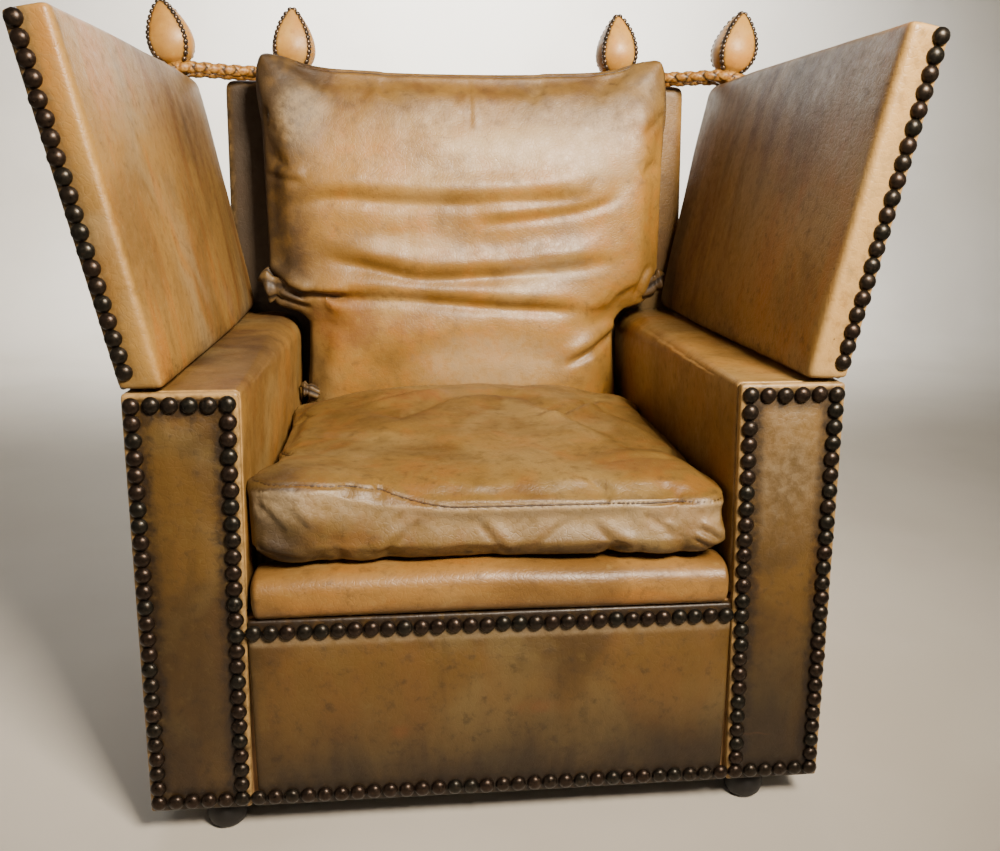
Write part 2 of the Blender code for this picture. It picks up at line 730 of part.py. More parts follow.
def wings():
    """The padded drop sides, each on its inner board, with studs down the front edge."""
    outer, inner = WING_OUTER, WING_OUTER + WING_THICKNESS
    board_outer = WING_OUTER + (WING_THICKNESS - WING_BOARD_THICKNESS) / 2
    board_inner = board_outer + WING_BOARD_THICKNESS
    board_top = WING_HEIGHT - WING_BOARD_MARGIN
    for side, sign in SIDES.items():
        pivot = wing_pivot(sign)
        bm = wing_block(
            sign, (outer, inner), WING_HEIGHT, WING_BED / 2, wing_front, WING_REAR_Y,
        )
        bmesh.ops.recalc_face_normals(bm, faces=bm.faces)
        inward = Vector((-sign * math.cos(WING_LEAN), 0, math.sin(WING_LEAN)))
        soft = [
            e for e in bm.edges
            if not all(v.co.z < ARM_TOP_Z + WING_THICKNESS for v in e.verts)
            and any((v.co - Vector(wing_point(sign, inner, 0, 0))).dot(inward) > -FIT
                    for v in e.verts)
        ]
        bmesh.ops.bevel(
            bm, geom=soft, offset=SOFT_EDGE, segments=SOFT_EDGE_STEPS, affect="EDGES",
            material=-1,
        )
        crown_face(bm, inward, PADDING_BORDER, PADDING_CROWN)
        cover = add_object(f"wing_cover_{side}", bm, LEATHER, pivot, smooth_angle=EDGE_ANGLE)
        board_front = FRONT_Y + WING_BOARD_MARGIN
        board_rear = WING_REAR_Y - WING_BOARD_MARGIN
        bm = wing_block(
            sign, (board_outer, board_inner), board_top, WING_BED / 2,
            lambda up: board_front, board_rear,
        )
        add_object(f"wing_board_{side}", bm, BEECH, pivot)
        bm = wing_block(
            sign, (board_outer - FIT, board_inner + FIT), board_top + FIT,
            WING_BED / 2 - OVERRUN, lambda up: board_front - FIT, board_rear + FIT,
        )
        boolean(cover, cutter(f"wing_slot_{side}", bm), "DIFFERENCE")

        def place(column, row, sign=sign):
            span = WING_HEIGHT - WING_STUD_START - WING_STUD_END
            pitch = span / (WING_STUDS - 1)
            up = WING_STUD_START + row * pitch
            across = WING_OUTER + STUD_INSET + column * pitch
            return wing_point(sign, across, up, wing_front(up))

        stud_band(f"wing_studs_{side}", [(0, i) for i in range(WING_STUDS)], place, pivot)


def hinges():
    """A long hinge under each wing: a leaf on the arm, a leaf on the wing, and a pin."""
    start, end = FRONT_Y + HINGE_SETBACK, WING_REAR_Y - HINGE_SETBACK
    third = (end - start) / 3
    leaf_edge = HINGE_X - KNUCKLE_RADIUS - FIT
    arm_leaf_z = ARM_TOP_Z + FIT
    wing_leaf_z = ARM_TOP_Z + WING_BED - FIT - LEAF_THICKNESS
    leaves = {
        "arm_leaf": (arm_leaf_z, [(start, start + third - FIT), (end - third + FIT, end)]),
        "wing_leaf": (wing_leaf_z, [(start + third + FIT, end - third - FIT)]),
    }
    for side, sign in SIDES.items():
        for leaf, (z, spans) in leaves.items():
            bm = bmesh.new()
            add_box(
                bm, (sign * (leaf_edge - LEAF_WIDTH), start, z),
                (sign * leaf_edge, end, z + LEAF_THICKNESS),
            )
            name = f"hinge_{leaf}_{side}"
            plate = add_object(name, bm, STEEL, wing_pivot(sign))
            for number, (first, last) in enumerate(spans):
                bm = bmesh.new()
                add_box(
                    bm, (sign * (leaf_edge - KNUCKLE_RADIUS), first, z),
                    (sign * (HINGE_X - PIN_RADIUS), last, z + LEAF_THICKNESS),
                )
                boolean(plate, cutter(f"{name}_tongue_{number}", bm), "UNION")
                bm = bmesh.new()
                cylinder(
                    bm, KNUCKLE_RADIUS, first, last, sign * HINGE_X, HINGE_Z, HINGE_SIDES,
                )
                boolean(plate, cutter(f"{name}_knuckle_{number}", bm), "UNION")
            bm = bmesh.new()
            cylinder(
                bm, PIN_RADIUS + PIN_PLAY, start - OVERRUN, end + OVERRUN,
                sign * HINGE_X, HINGE_Z, HINGE_SIDES,
            )
            boolean(plate, cutter(f"{name}_bore", bm), "DIFFERENCE")
        bm = bmesh.new()
        cylinder(bm, PIN_RADIUS, start, end, sign * HINGE_X, HINGE_Z, HINGE_SIDES)
        add_object(f"hinge_pin_{side}", bm, STEEL, smooth_angle=EDGE_ANGLE)


def finial(name, where, axis, pivot):
    """A four-sided almond of leather over wood, on a round neck, standing along an axis."""
    turn = Vector((0, 0, 1)).rotation_difference(Vector(axis)).to_matrix()
    sections = []
    for height, radius, square in FINIAL_SHARES:
        ring = []
        for i in range(FINIAL_SIDES):
            angle = 2 * math.pi * (i + 1) / FINIAL_SIDES
            reach = FINIAL_RADIUS * radius * (1 if i % 2 == 0 else square)
            point = Vector((
                reach * math.cos(angle), reach * math.sin(angle), FINIAL_HEIGHT * height,
            ))
            ring.append(Vector(where) + turn @ point)
        sections.append(ring)
    return add_object(name, loft(sections), FINIAL_LEATHER, pivot, smooth_angle=CUSHION_ANGLE)


BACK_FINIAL_Y = BACK_FRONT_Y + FINIAL_SETBACK
WING_FINIAL_Y = WING_REAR_Y - WING_FINIAL_SETBACK
WING_MIDDLE = WING_OUTER + WING_THICKNESS / 2


def finials():
    for side, sign in SIDES.items():
        where = (sign * FINIAL_X, BACK_FINIAL_Y, BACK_TOP_Z + FIT)
        finial(f"back_finial_{side}", where, (0, 0, 1), None)
        where = wing_point(sign, WING_MIDDLE, WING_HEIGHT + FIT, WING_FINIAL_Y)
        axis = (sign * math.sin(WING_LEAN), 0, math.cos(WING_LEAN))
        finial(f"wing_finial_{side}", where, axis, wing_pivot(sign))


# Cords: each is a loop round two necks, in two lengths that meet over the back's top corner
CORD_BEND = NECK_RADIUS + CORD_RADIUS + CORD_PLAY
CORD_LIFT = CORD_RADIUS + CORD_PLAY
CORD_SPLIT_X = back_half(BACK_TOP_Z)
CORD_STUB = CORD_RADIUS * 2
CORD_CREST_X, _, CORD_CREST_Z = wing_point(1, WING_OUTER + WING_THICKNESS, WING_HEIGHT, 0)


def cord_bend(centre, facing):
    """Points round half a neck, in plan, from one side of the run's direction to the other."""
    points = []
    for i in range(CORD_BEND_POINTS + 1):
        angle = facing - math.pi / 2 + math.pi * i / CORD_BEND_POINTS
        points.append((
            centre[0] + CORD_BEND * math.cos(angle), centre[1] + CORD_BEND * math.sin(angle),
        ))
    return points


def cord_height(x):
    """The cord lies on the back's top, climbs to the wing's inner edge and follows its slope."""
    rest = BACK_TOP_Z + CORD_LIFT
    crest = CORD_CREST_Z + CORD_LIFT / math.cos(WING_LEAN)
    climb_x = CORD_SPLIT_X + CORD_STUB
    if x <= climb_x:
        return rest
    if x <= CORD_CREST_X:
        return between(rest, crest, (x - climb_x) / (CORD_CREST_X - climb_x))
    return crest - (x - CORD_CREST_X) * math.tan(WING_LEAN)


def tube(name, points, pivot):
    curve = bpy.data.curves.new(name, "CURVE")
    curve.dimensions = "3D"
    curve.bevel_depth = CORD_RADIUS
    curve.bevel_resolution = CORD_QUARTER_SIDES
    curve.use_fill_caps = True
    line = curve.splines.new("POLY")
    line.points.add(len(points) - 1)
    for point, place in zip(line.points, points):
        point.co = (*(Vector(place) - Vector(pivot)), 1)
    curve.materials.append(CORD_LEATHER)
    new = bpy.data.objects.new(name, curve)
    new.location = pivot
    bpy.context.collection.objects.link(new)


def cords():
    neck_tip = wing_point(1, WING_MIDDLE, WING_HEIGHT + CORD_LIFT, WING_FINIAL_Y)
    back_neck = (FINIAL_X, BACK_FINIAL_Y)
    wing_neck = (neck_tip[0], neck_tip[1])
    facing = math.atan2(wing_neck[1] - back_neck[1], wing_neck[0] - back_neck[0])
    outer = cord_bend(wing_neck, facing)
    inner = cord_bend(back_neck, facing + math.pi)

    def run_point(near, far, x):
        return (x, between(near[1], far[1], (x - near[0]) / (far[0] - near[0])))

    front_run, rear_run = (inner[-1], outer[0]), (inner[0], outer[-1])
    for side, sign in SIDES.items():
        pivot = (sign * CORD_SPLIT_X, 0, BACK_TOP_Z)
        for part, bend, away, origin in (
            ("outer", outer, 1, pivot), ("inner", inner, -1, (0, 0, 0)),
        ):
            end_x, stub_x = CORD_SPLIT_X + away * FIT, CORD_SPLIT_X + away * CORD_STUB
            first, last = (front_run, rear_run) if part == "outer" else (rear_run, front_run)
            stops = [end_x, stub_x] + ([CORD_CREST_X] if part == "outer" else [])
            plan = [
                *(run_point(*first, x) for x in stops), *bend,
                *(run_point(*last, x) for x in reversed(stops)),
            ]
            points = [(sign * x, y, cord_height(x)) for x, y in plan]
            tube(f"cord_{part}_{side}", points, origin)


# Cushions
def block_of_cells(low, high, cuts):
    """A box cut into a grid of cells along each of its axes."""
    bm = bmesh.new()
    add_box(bm, low, high)
    for axis, count in enumerate(cuts):
        normal = Vector((0, 0, 0))
        normal[axis] = 1
        for i in range(1, count):
            point = Vector(low)
            point[axis] = between(low[axis], high[axis], i / count)
            geometry = bm.verts[:] + bm.edges[:] + bm.faces[:]
            bmesh.ops.bisect_plane(bm, geom=geometry, plane_co=point, plane_no=normal)
    return bm


def rounded(first, second):
    """Draws the corners of a square in, as a cover's corners are."""
    power = CUSHION_CORNER_POWER
    reach = (abs(first) ** power + abs(second) ** power) ** (1 / power)
    return max(abs(first), abs(second)) / reach if reach else 1


def seat_cushion():
    """A boxed cushion: a crowned top, sides drawn in between its corners, a flat underside."""
    front = FRONT_Y - SEAT_CUSHION_PROUD
    rear = front + SEAT_CUSHION_DEPTH
    low = (-SEAT_CUSHION_HALF, front, CUSHION_BED_Z)
    high = (SEAT_CUSHION_HALF, rear, CUSHION_BED_Z + SEAT_SEAM_HEIGHT)
    bm = block_of_cells(low, high, SEAT_CELLS)
    middle_y, half_y = (front + rear) / 2, SEAT_CUSHION_DEPTH / 2
    for v in bm.verts:
        a = v.co.x / SEAT_CUSHION_HALF
        b = (v.co.y - middle_y) / half_y
        up = (v.co.z - CUSHION_BED_Z) / SEAT_SEAM_HEIGHT
        corner = rounded(a, b)
        v.co.x = SEAT_CUSHION_HALF * a * corner * (1 - SEAT_PULL_SHARE * (1 - b * b))
        v.co.y = middle_y + half_y * b * corner * (1 - SEAT_PULL_SHARE * (1 - a * a))
        swell = (max(1 - a * a, 0) * max(1 - b * b, 0)) ** SEAT_SWELL_POWER
        dents = sum(
            math.cos(math.pi * (b - share)) ** SEAT_DENT_POWER for share in SEAT_CREASE_SHARES
        )
        v.co.z += up * (SEAT_CROWN * swell - CREASE_DEPTH * swell * dents)
    add_object("seat_cushion", bm, CUSHION_LEATHER, smooth_angle=CUSHION_ANGLE)


def back_cushion_half(z):
    """Narrow between the arms, then wide above them."""
    share = min(max((z - ARM_TOP_Z) / SHOULDER_RISE, 0), 1)
    share = share * share * (3 - 2 * share)
    return between(BACK_CUSHION_HALF_LOW, BACK_CUSHION_HALF_HIGH, share)


def back_cushion():
    """A loose cushion on the platform, swelling over the arms, with worn cross creases."""
    rear = BACK_FRONT_Y - BACK_CUSHION_REST
    front = rear - BACK_CUSHION_THICKNESS
    height = BACK_CUSHION_TOP_Z - CUSHION_BED_Z
    low = (-1, front, CUSHION_BED_Z)
    high = (1, rear, BACK_CUSHION_TOP_Z)
    bm = block_of_cells(low, high, BACK_CELLS)
    for v in bm.verts:
        a = v.co.x
        depth = (rear - v.co.y) / BACK_CUSHION_THICKNESS
        c = 2 * (v.co.z - CUSHION_BED_Z) / height - 1
        corner = rounded(a, c)
        pull = 1 - BACK_PULL_SHARE * (1 - c * c)
        v.co.x = a * corner * pull * back_cushion_half(v.co.z)
        swell = (max(1 - a * a, 0) * max(1 - c * c, 0)) ** BACK_SWELL_POWER
        creases = sum(
            math.exp(-(((v.co.z - CUSHION_BED_Z - share * height) / CREASE_WIDTH) ** 2))
            for share in BACK_CREASE_SHARES
        )
        front_rim = BACK_CUSHION_THICKNESS * BACK_RIM_SHARES[0] * (1 - swell)
        rear_rim = BACK_CUSHION_THICKNESS * BACK_RIM_SHARES[1] * (1 - swell) ** 2
        v.co.y += depth * (front_rim + (CREASE_DEPTH * creases - BACK_CUSHION_CROWN) * swell)
        v.co.y -= (1 - depth) * rear_rim
        top_share = max(c, 0) ** BACK_DIP_POWER
        v.co.z -= BACK_CUSHION_DIP * top_share * (1 - a * a)
    add_object("back_cushion", bm, CUSHION_LEATHER, smooth_angle=CUSHION_ANGLE)


wooden_frame()
arms()
back()
seat_roll()
seat_support()
dust_cover()
feet()
body_studs()
wings()
hinges()
finials()
cords()
seat_cushion()
back_cushion()
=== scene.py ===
"""Knole armchair in waxed tan leather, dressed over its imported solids. Metres, +Z up; the front
faces -Y and the feet stand on Z = 0. Pieces follow in the order in which the chair goes together."""
import math
import random

import bmesh
import bpy
import numpy as np
from mathutils import Matrix, Vector, kdtree, noise
from mathutils.bvhtree import BVHTree


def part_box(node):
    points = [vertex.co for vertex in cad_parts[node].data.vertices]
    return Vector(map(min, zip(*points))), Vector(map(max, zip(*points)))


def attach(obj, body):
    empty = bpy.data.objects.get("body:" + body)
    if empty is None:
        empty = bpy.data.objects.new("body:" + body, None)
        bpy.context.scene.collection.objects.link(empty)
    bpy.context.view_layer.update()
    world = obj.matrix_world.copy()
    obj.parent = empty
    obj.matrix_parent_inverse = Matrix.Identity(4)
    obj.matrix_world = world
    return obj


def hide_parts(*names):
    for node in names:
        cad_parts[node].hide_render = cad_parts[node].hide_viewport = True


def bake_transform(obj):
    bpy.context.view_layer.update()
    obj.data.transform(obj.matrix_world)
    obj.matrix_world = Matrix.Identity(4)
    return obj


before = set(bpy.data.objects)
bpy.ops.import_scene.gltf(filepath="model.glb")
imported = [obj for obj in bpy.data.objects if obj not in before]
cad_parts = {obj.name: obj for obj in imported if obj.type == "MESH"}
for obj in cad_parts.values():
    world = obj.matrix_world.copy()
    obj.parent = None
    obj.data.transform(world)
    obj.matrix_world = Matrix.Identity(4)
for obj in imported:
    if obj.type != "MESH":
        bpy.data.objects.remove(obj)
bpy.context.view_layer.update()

# Camera: it stands a little left of the chair, about a metre in front of it and at seat-back
# height, looks slightly right and down, and takes in the whole chair edge to edge
CAMERA_PLACE = (-0.107, -1.537, 0.849)
CAMERA_YAW, CAMERA_PITCH, CAMERA_ROLL = (math.radians(a) for a in (5.68, 14.29, 0.27))
camera = bpy.data.cameras.new("camera")
camera.sensor_width = 36
camera.lens = 34.2
camera_object = bpy.data.objects.new("camera", camera)
camera_object.matrix_world = (
    Matrix.Translation(CAMERA_PLACE)
    @ Matrix.Rotation(-CAMERA_YAW, 4, "Z")
    @ Matrix.Rotation(math.pi / 2 - CAMERA_PITCH, 4, "X")
    @ Matrix.Rotation(CAMERA_ROLL, 4, "Z")
)
bpy.context.scene.collection.objects.link(camera_object)
bpy.context.scene.camera = camera_object


# Plaited cords: each is one loop of four thongs of orange-tan bridle leather, plaited round, that
# goes round a back finial's neck and a wing finial's neck and holds the wing up. It is slipped on
FIT = 0.0003
BACK_TOP_Z, BACK_FRONT_Y = 1.030, 0.3249
NECK_RADIUS, CORD_RADIUS, CORD_PLAY = 0.02047, 0.0095, 0.0006
CORD_SPLIT_X = 0.427
BACK_FINIAL = Vector((0.305, 0.3769, 1.0303))
WING_LEAN = math.radians(11.0)
WING_THICKNESS, WING_HEIGHT, WING_OUTER = 0.052, 0.420, 0.0048
HINGE_X, HINGE_Z = 0.4478, 0.6105
WING_FRONT_Y, WING_REAR_Y, WING_RAKE = -0.4131, 0.3229, 0.014
WING_FINIAL_Y = 0.2969
PLAIT_RADIUS, PLAIT_PITCH = 0.0115, 0.053
THONG_HALF_WIDTH, THONG_HALF_THICKNESS, THONG_RIDE = 0.0086, 0.0026, 0.0018
THONG_SIDES, THONG_FLATNESS, BEND_STEPS, STEPS_PER_TURN = 10, 0.6, 12, 18
SIDES = {"left": -1, "right": 1}


def linear(hex_colour):
    """Turns an sRGB hex colour into linear values."""
    values = [int(hex_colour[i : i + 2], 16) / 255 for i in (1, 3, 5)]
    return (*(v / 12.92 if v <= 0.04045 else ((v + 0.055) / 1.055) ** 2.4 for v in values), 1)


def feed(tree, socket, value):
    """Gives a socket a value, or a link from a node or from a node's output."""
    if isinstance(value, bpy.types.Node):
        value = next(s for s in value.outputs if s.enabled)
    if isinstance(value, bpy.types.NodeSocket):
        tree.links.new(value, socket)
    else:
        socket.default_value = value


def put(tree, kind, settings, inputs):
    """Adds a node, sets its properties, and gives each named input a value or another node."""
    node = tree.nodes.new("ShaderNode" + kind)
    for key, value in settings.items():
        setattr(node, key, value)
    for key, value in inputs.items():
        socket = next(s for s in node.inputs if key in (s.identifier, s.name) and s.enabled)
        feed(tree, socket, value)
    return node


def start_material(name):
    """A new material, its node tree, its shader and its object coordinates."""
    material = bpy.data.materials.new(name)
    material.use_nodes = True
    tree = material.node_tree
    place = put(tree, "TexCoord", {}, {}).outputs["Object"]
    return material, tree, tree.nodes["Principled BSDF"], place


def connect(tree, shader, inputs):
    """Sets the shader's own sockets, by a value or by a node's output."""
    for key, value in inputs.items():
        feed(tree, shader.inputs[key], value)


def layered(tree, colour, layers):
    """Lays colours over each other, each where its source runs from a start to an end value."""
    for source, start, end, strength, tone in layers:
        share = put(tree, "MapRange", {"interpolation_type": "SMOOTHSTEP"}, {
            "Value": source, "From Min": start, "From Max": end, "To Max": strength,
        })
        colour = put(tree, "Mix", {"data_type": "RGBA"}, {
            "Factor_Float": share, "A_Color": colour, "B_Color": linear(tone),
        })
    return colour


def plaited_leather():
    """Bridle leather thongs: orange-tan and waxed, with scuffs on the backs and painted shade in the
    hollows between them.
    """
    material, tree, shader, place = start_material("plaited_bridle_leather")
    mottle = put(tree, "TexNoise", {}, {"Vector": place, "Scale": 220.0, "Detail": 4.0})
    hollow_shade = put(tree, "Attribute", {"attribute_name": "hollow_shade"}, {}).outputs["Fac"]
    colour = layered(tree, linear("#8A5E22"), (
        (mottle, 0.45, 0.70, 0.7, "#B58B4A"),
        (mottle, 0.50, 0.30, 0.7, "#6A3C12"),
        (hollow_shade, 0.05, 0.7, 0.98, "#150C05"),
    ))
    bump = put(tree, "Bump", {}, {"Height": mottle, "Strength": 0.4, "Distance": 0.0006})
    connect(tree, shader, {"Base Color": colour, "Normal": bump, "Roughness": 0.48})
    return material


def lay_cells(bm, columns, rows, place):
    """Adds a grid of cells and moves each corner to the point for its two shares, 0 to 1."""
    made = bmesh.ops.create_grid(bm, x_segments=columns, y_segments=rows, size=1)["verts"]
    for v in made:
        v.co = place((v.co.x + 1) / 2, (v.co.y + 1) / 2)
    return made


def close(bm):
    """Joins the edges at which a surface meets itself, and turns its faces outward."""
    bmesh.ops.remove_doubles(bm, verts=bm.verts, dist=1e-6)
    bmesh.ops.recalc_face_normals(bm, faces=bm.faces)


def marks(bm, *names):
    """Adds the named values to a mesh's points, for its material to read."""
    return [bm.verts.layers.float.new(name) for name in names]


def smooth_step(start, end, value):
    """Rises smoothly from 0 at the start to 1 at the end."""
    share = min(max((value - start) / (end - start), 0), 1)
    return share * share * (3 - 2 * share)


def between(first, last, share):
    """The value at a share of the way from the first to the last."""
    return first + (last - first) * share


def new_piece(name, bm, finish, levels=0):
    """Makes a smooth piece of a bmesh, which keeps its place in its mesh."""
    mesh = bpy.data.meshes.new(name)
    bm.to_mesh(mesh)
    bm.free()
    mesh.shade_smooth()
    mesh.materials.append(finish)
    piece = bpy.data.objects.new(name, mesh)
    bpy.context.scene.collection.objects.link(piece)
    if levels:
        modifier = piece.modifiers.new("fine", "SUBSURF")
        modifier.levels = modifier.render_levels = levels
    return piece


def wing_point(sign, across, up, y):
    """A point of a wing: inwards from the hinge line, up the lean, and along the chair."""
    x = HINGE_X + up * math.sin(WING_LEAN) - across * math.cos(WING_LEAN)
    z = HINGE_Z + up * math.cos(WING_LEAN) + across * math.sin(WING_LEAN)
    return Vector((sign * x, y, z))


def cord_height(x):
    """The cord lies on the back's top, climbs to the wing's inner edge and follows its slope."""
    lift = PLAIT_RADIUS + CORD_PLAY
    crest = wing_point(1, WING_OUTER + WING_THICKNESS, WING_HEIGHT, 0)
    rest, top = BACK_TOP_Z + lift, crest.z + lift / math.cos(WING_LEAN)
    climb_x = CORD_SPLIT_X + 2 * PLAIT_RADIUS
    if x < crest.x:
        return between(rest, top, smooth_step(climb_x - PLAIT_RADIUS, crest.x, x))
    return top - (x - crest.x) * math.tan(WING_LEAN)


def cord_route():
    """The right-hand loop's middle line: half turns round both necks and two straight runs."""
    wing_neck = wing_point(1, WING_OUTER + WING_THICKNESS / 2, WING_HEIGHT + PLAIT_RADIUS, 0)
    necks = (Vector(BACK_FINIAL.xy), Vector((wing_neck.x, WING_FINIAL_Y)))
    facing = math.atan2(*reversed(necks[1] - necks[0]))
    reach = NECK_RADIUS + PLAIT_RADIUS + CORD_PLAY
    bends = []
    for neck, turned in zip(necks, (math.pi, 0)):
        angles = [facing + turned + math.pi * (i / BEND_STEPS - 0.5) for i in range(BEND_STEPS + 1)]
        bends.append([neck + reach * Vector((math.cos(a), math.sin(a))) for a in angles])
    plan = []
    for bend, following in zip(bends, reversed(bends)):
        plan += bend
        plan += [bend[-1].lerp(following[0], i / BEND_STEPS) for i in range(1, BEND_STEPS)]
    return [Vector((p.x, p.y, cord_height(p.x))) for p in plan]


def evenly_spaced(route, count):
    """Points evenly along a closed line, whose corners are softened first, and its length."""
    for _ in range(3):
        route = [
            (route[i - 1] + 2 * p + route[(i + 1) % len(route)]) / 4 for i, p in enumerate(route)
        ]
    steps = [(b - a).length for a, b in zip(route, route[1:] + route[:1])]
    total, points, walked, i = sum(steps), [], 0.0, 0
    for k in range(count):
        goal = total * k / count
        while walked + steps[i] < goal:
            walked += steps[i]
            i += 1
        points.append(route[i].lerp(route[(i + 1) % len(route)], (goal - walked) / steps[i]))
    return points, total


# Plaited bridle leather: warm orange thongs, with painted shade making the hollows between them black
PLAITED_LEATHER = plaited_leather()
_, cord_length = evenly_spaced(cord_route(), 1)
turns = round(cord_length / PLAIT_PITCH)
STATIONS = STEPS_PER_TURN * turns
route, _ = evenly_spaced(cord_route(), STATIONS)
for side, sign in SIDES.items():
    bm = bmesh.new()
    [hollow_shade] = marks(bm, "hollow_shade")
    for thong in range(4):
        hand = 1 if thong < 2 else -1

        def thong_line(station, hand=hand, thong=thong):
            """The middle of a thong, which weaves over and under as it winds round the cord."""
            phase = 2 * math.pi * turns * station / STATIONS
            middle = route[station % STATIONS]
            ahead = route[(station + 1) % STATIONS] - route[station % STATIONS - 1]
            level = Vector((0, 0, 1)).cross(ahead).normalized()
            upright = ahead.normalized().cross(level)
            angle = hand * phase + math.pi * (thong % 2)
            radial = level * math.cos(angle) + upright * math.sin(angle)
            thick = THONG_HALF_THICKNESS
            ride = PLAIT_RADIUS - thick - THONG_RIDE + hand * THONG_RIDE * math.cos(2 * phase)
            return middle + radial * ride, radial

        def place(u, v, thong_line=thong_line, sign=sign):
            station = round(u * STATIONS)
            point, radial = thong_line(station)
            run = (thong_line(station + 1)[0] - thong_line(station - 1)[0]).normalized()
            wide = run.cross(radial).normalized()
            turn = 2 * math.pi * v
            c, s = math.cos(turn), math.sin(turn)
            edge = math.copysign(abs(c) ** THONG_FLATNESS, c) * THONG_HALF_WIDTH
            face = math.copysign(abs(s) ** THONG_FLATNESS, s) * THONG_HALF_THICKNESS
            bend = edge * edge / (2 * PLAIT_RADIUS)
            point = point + wide * edge + radial * (face - bend)
            return Vector((sign * point.x, point.y, point.z))

        made = lay_cells(bm, STATIONS, THONG_SIDES, place)
        # Points near the cord's middle line, in the hollows between thongs, are marked for painted
        # shade
        for v in made:
            right_side = Vector((sign * v.co.x, v.co.y, v.co.z))
            nearest = min(route[::6], key=lambda p: (p - right_side).length_squared)
            out = (right_side - nearest).length
            v[hollow_shade] = 1 - smooth_step(PLAIT_RADIUS * 0.66, PLAIT_RADIUS, out)
    close(bm)
    cord = new_piece(f"plaited_cord_{side}", bm, PLAITED_LEATHER)
    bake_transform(cord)
    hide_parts(f"cord_inner_{side}", f"cord_outer_{side}")


# Finials: four turned wooden almonds on round necks, each covered with four gores of pale calf
# leather. The gores meet in seams down the corners, which are closed by rows of small dark nails
FINIAL_HEIGHT, FINIAL_RADIUS = 0.131, 0.0445
FINIAL_PROFILE_SHARES = (
    (0.00, 0.00, 1.00), (0.001, 0.46, 1.00), (0.17, 0.46, 1.00), (0.23, 0.70, 0.97),
    (0.32, 0.91, 0.92), (0.43, 1.00, 0.90), (0.56, 0.96, 0.89), (0.70, 0.80, 0.88),
    (0.80, 0.62, 0.88), (0.90, 0.39, 0.89), (0.96, 0.21, 0.92), (1.00, 0.00, 1.00),
)
FINIAL_NAILS, FINIAL_NAIL_RADIUS, FINIAL_NAIL_HEIGHT = 13, 0.0048, 0.0040
FINIAL_NAIL_START, FINIAL_NAIL_END = 0.20, 0.975
FINIAL_COLUMNS, FINIAL_ROWS, FINIAL_NAIL_SINK = 48, 56, 0.0006
SEAM_DIRT_START, SEAM_DIRT_END = 0.002, 0.011

# Real cowhide is coloured in patches a hand wide, mottled a few centimetres wide, and its pores
# stand about a millimetre apart. They are drawn at 2.2 mm so that they show in the render
PATCH_WIDTH, MOTTLE_WIDTH, GRAIN_WIDTH = 0.220, 0.040, 0.0022
SPECK_SPACING, SCRATCH_SPACING, CREASE_SPACING = 0.055, 0.140, 0.008


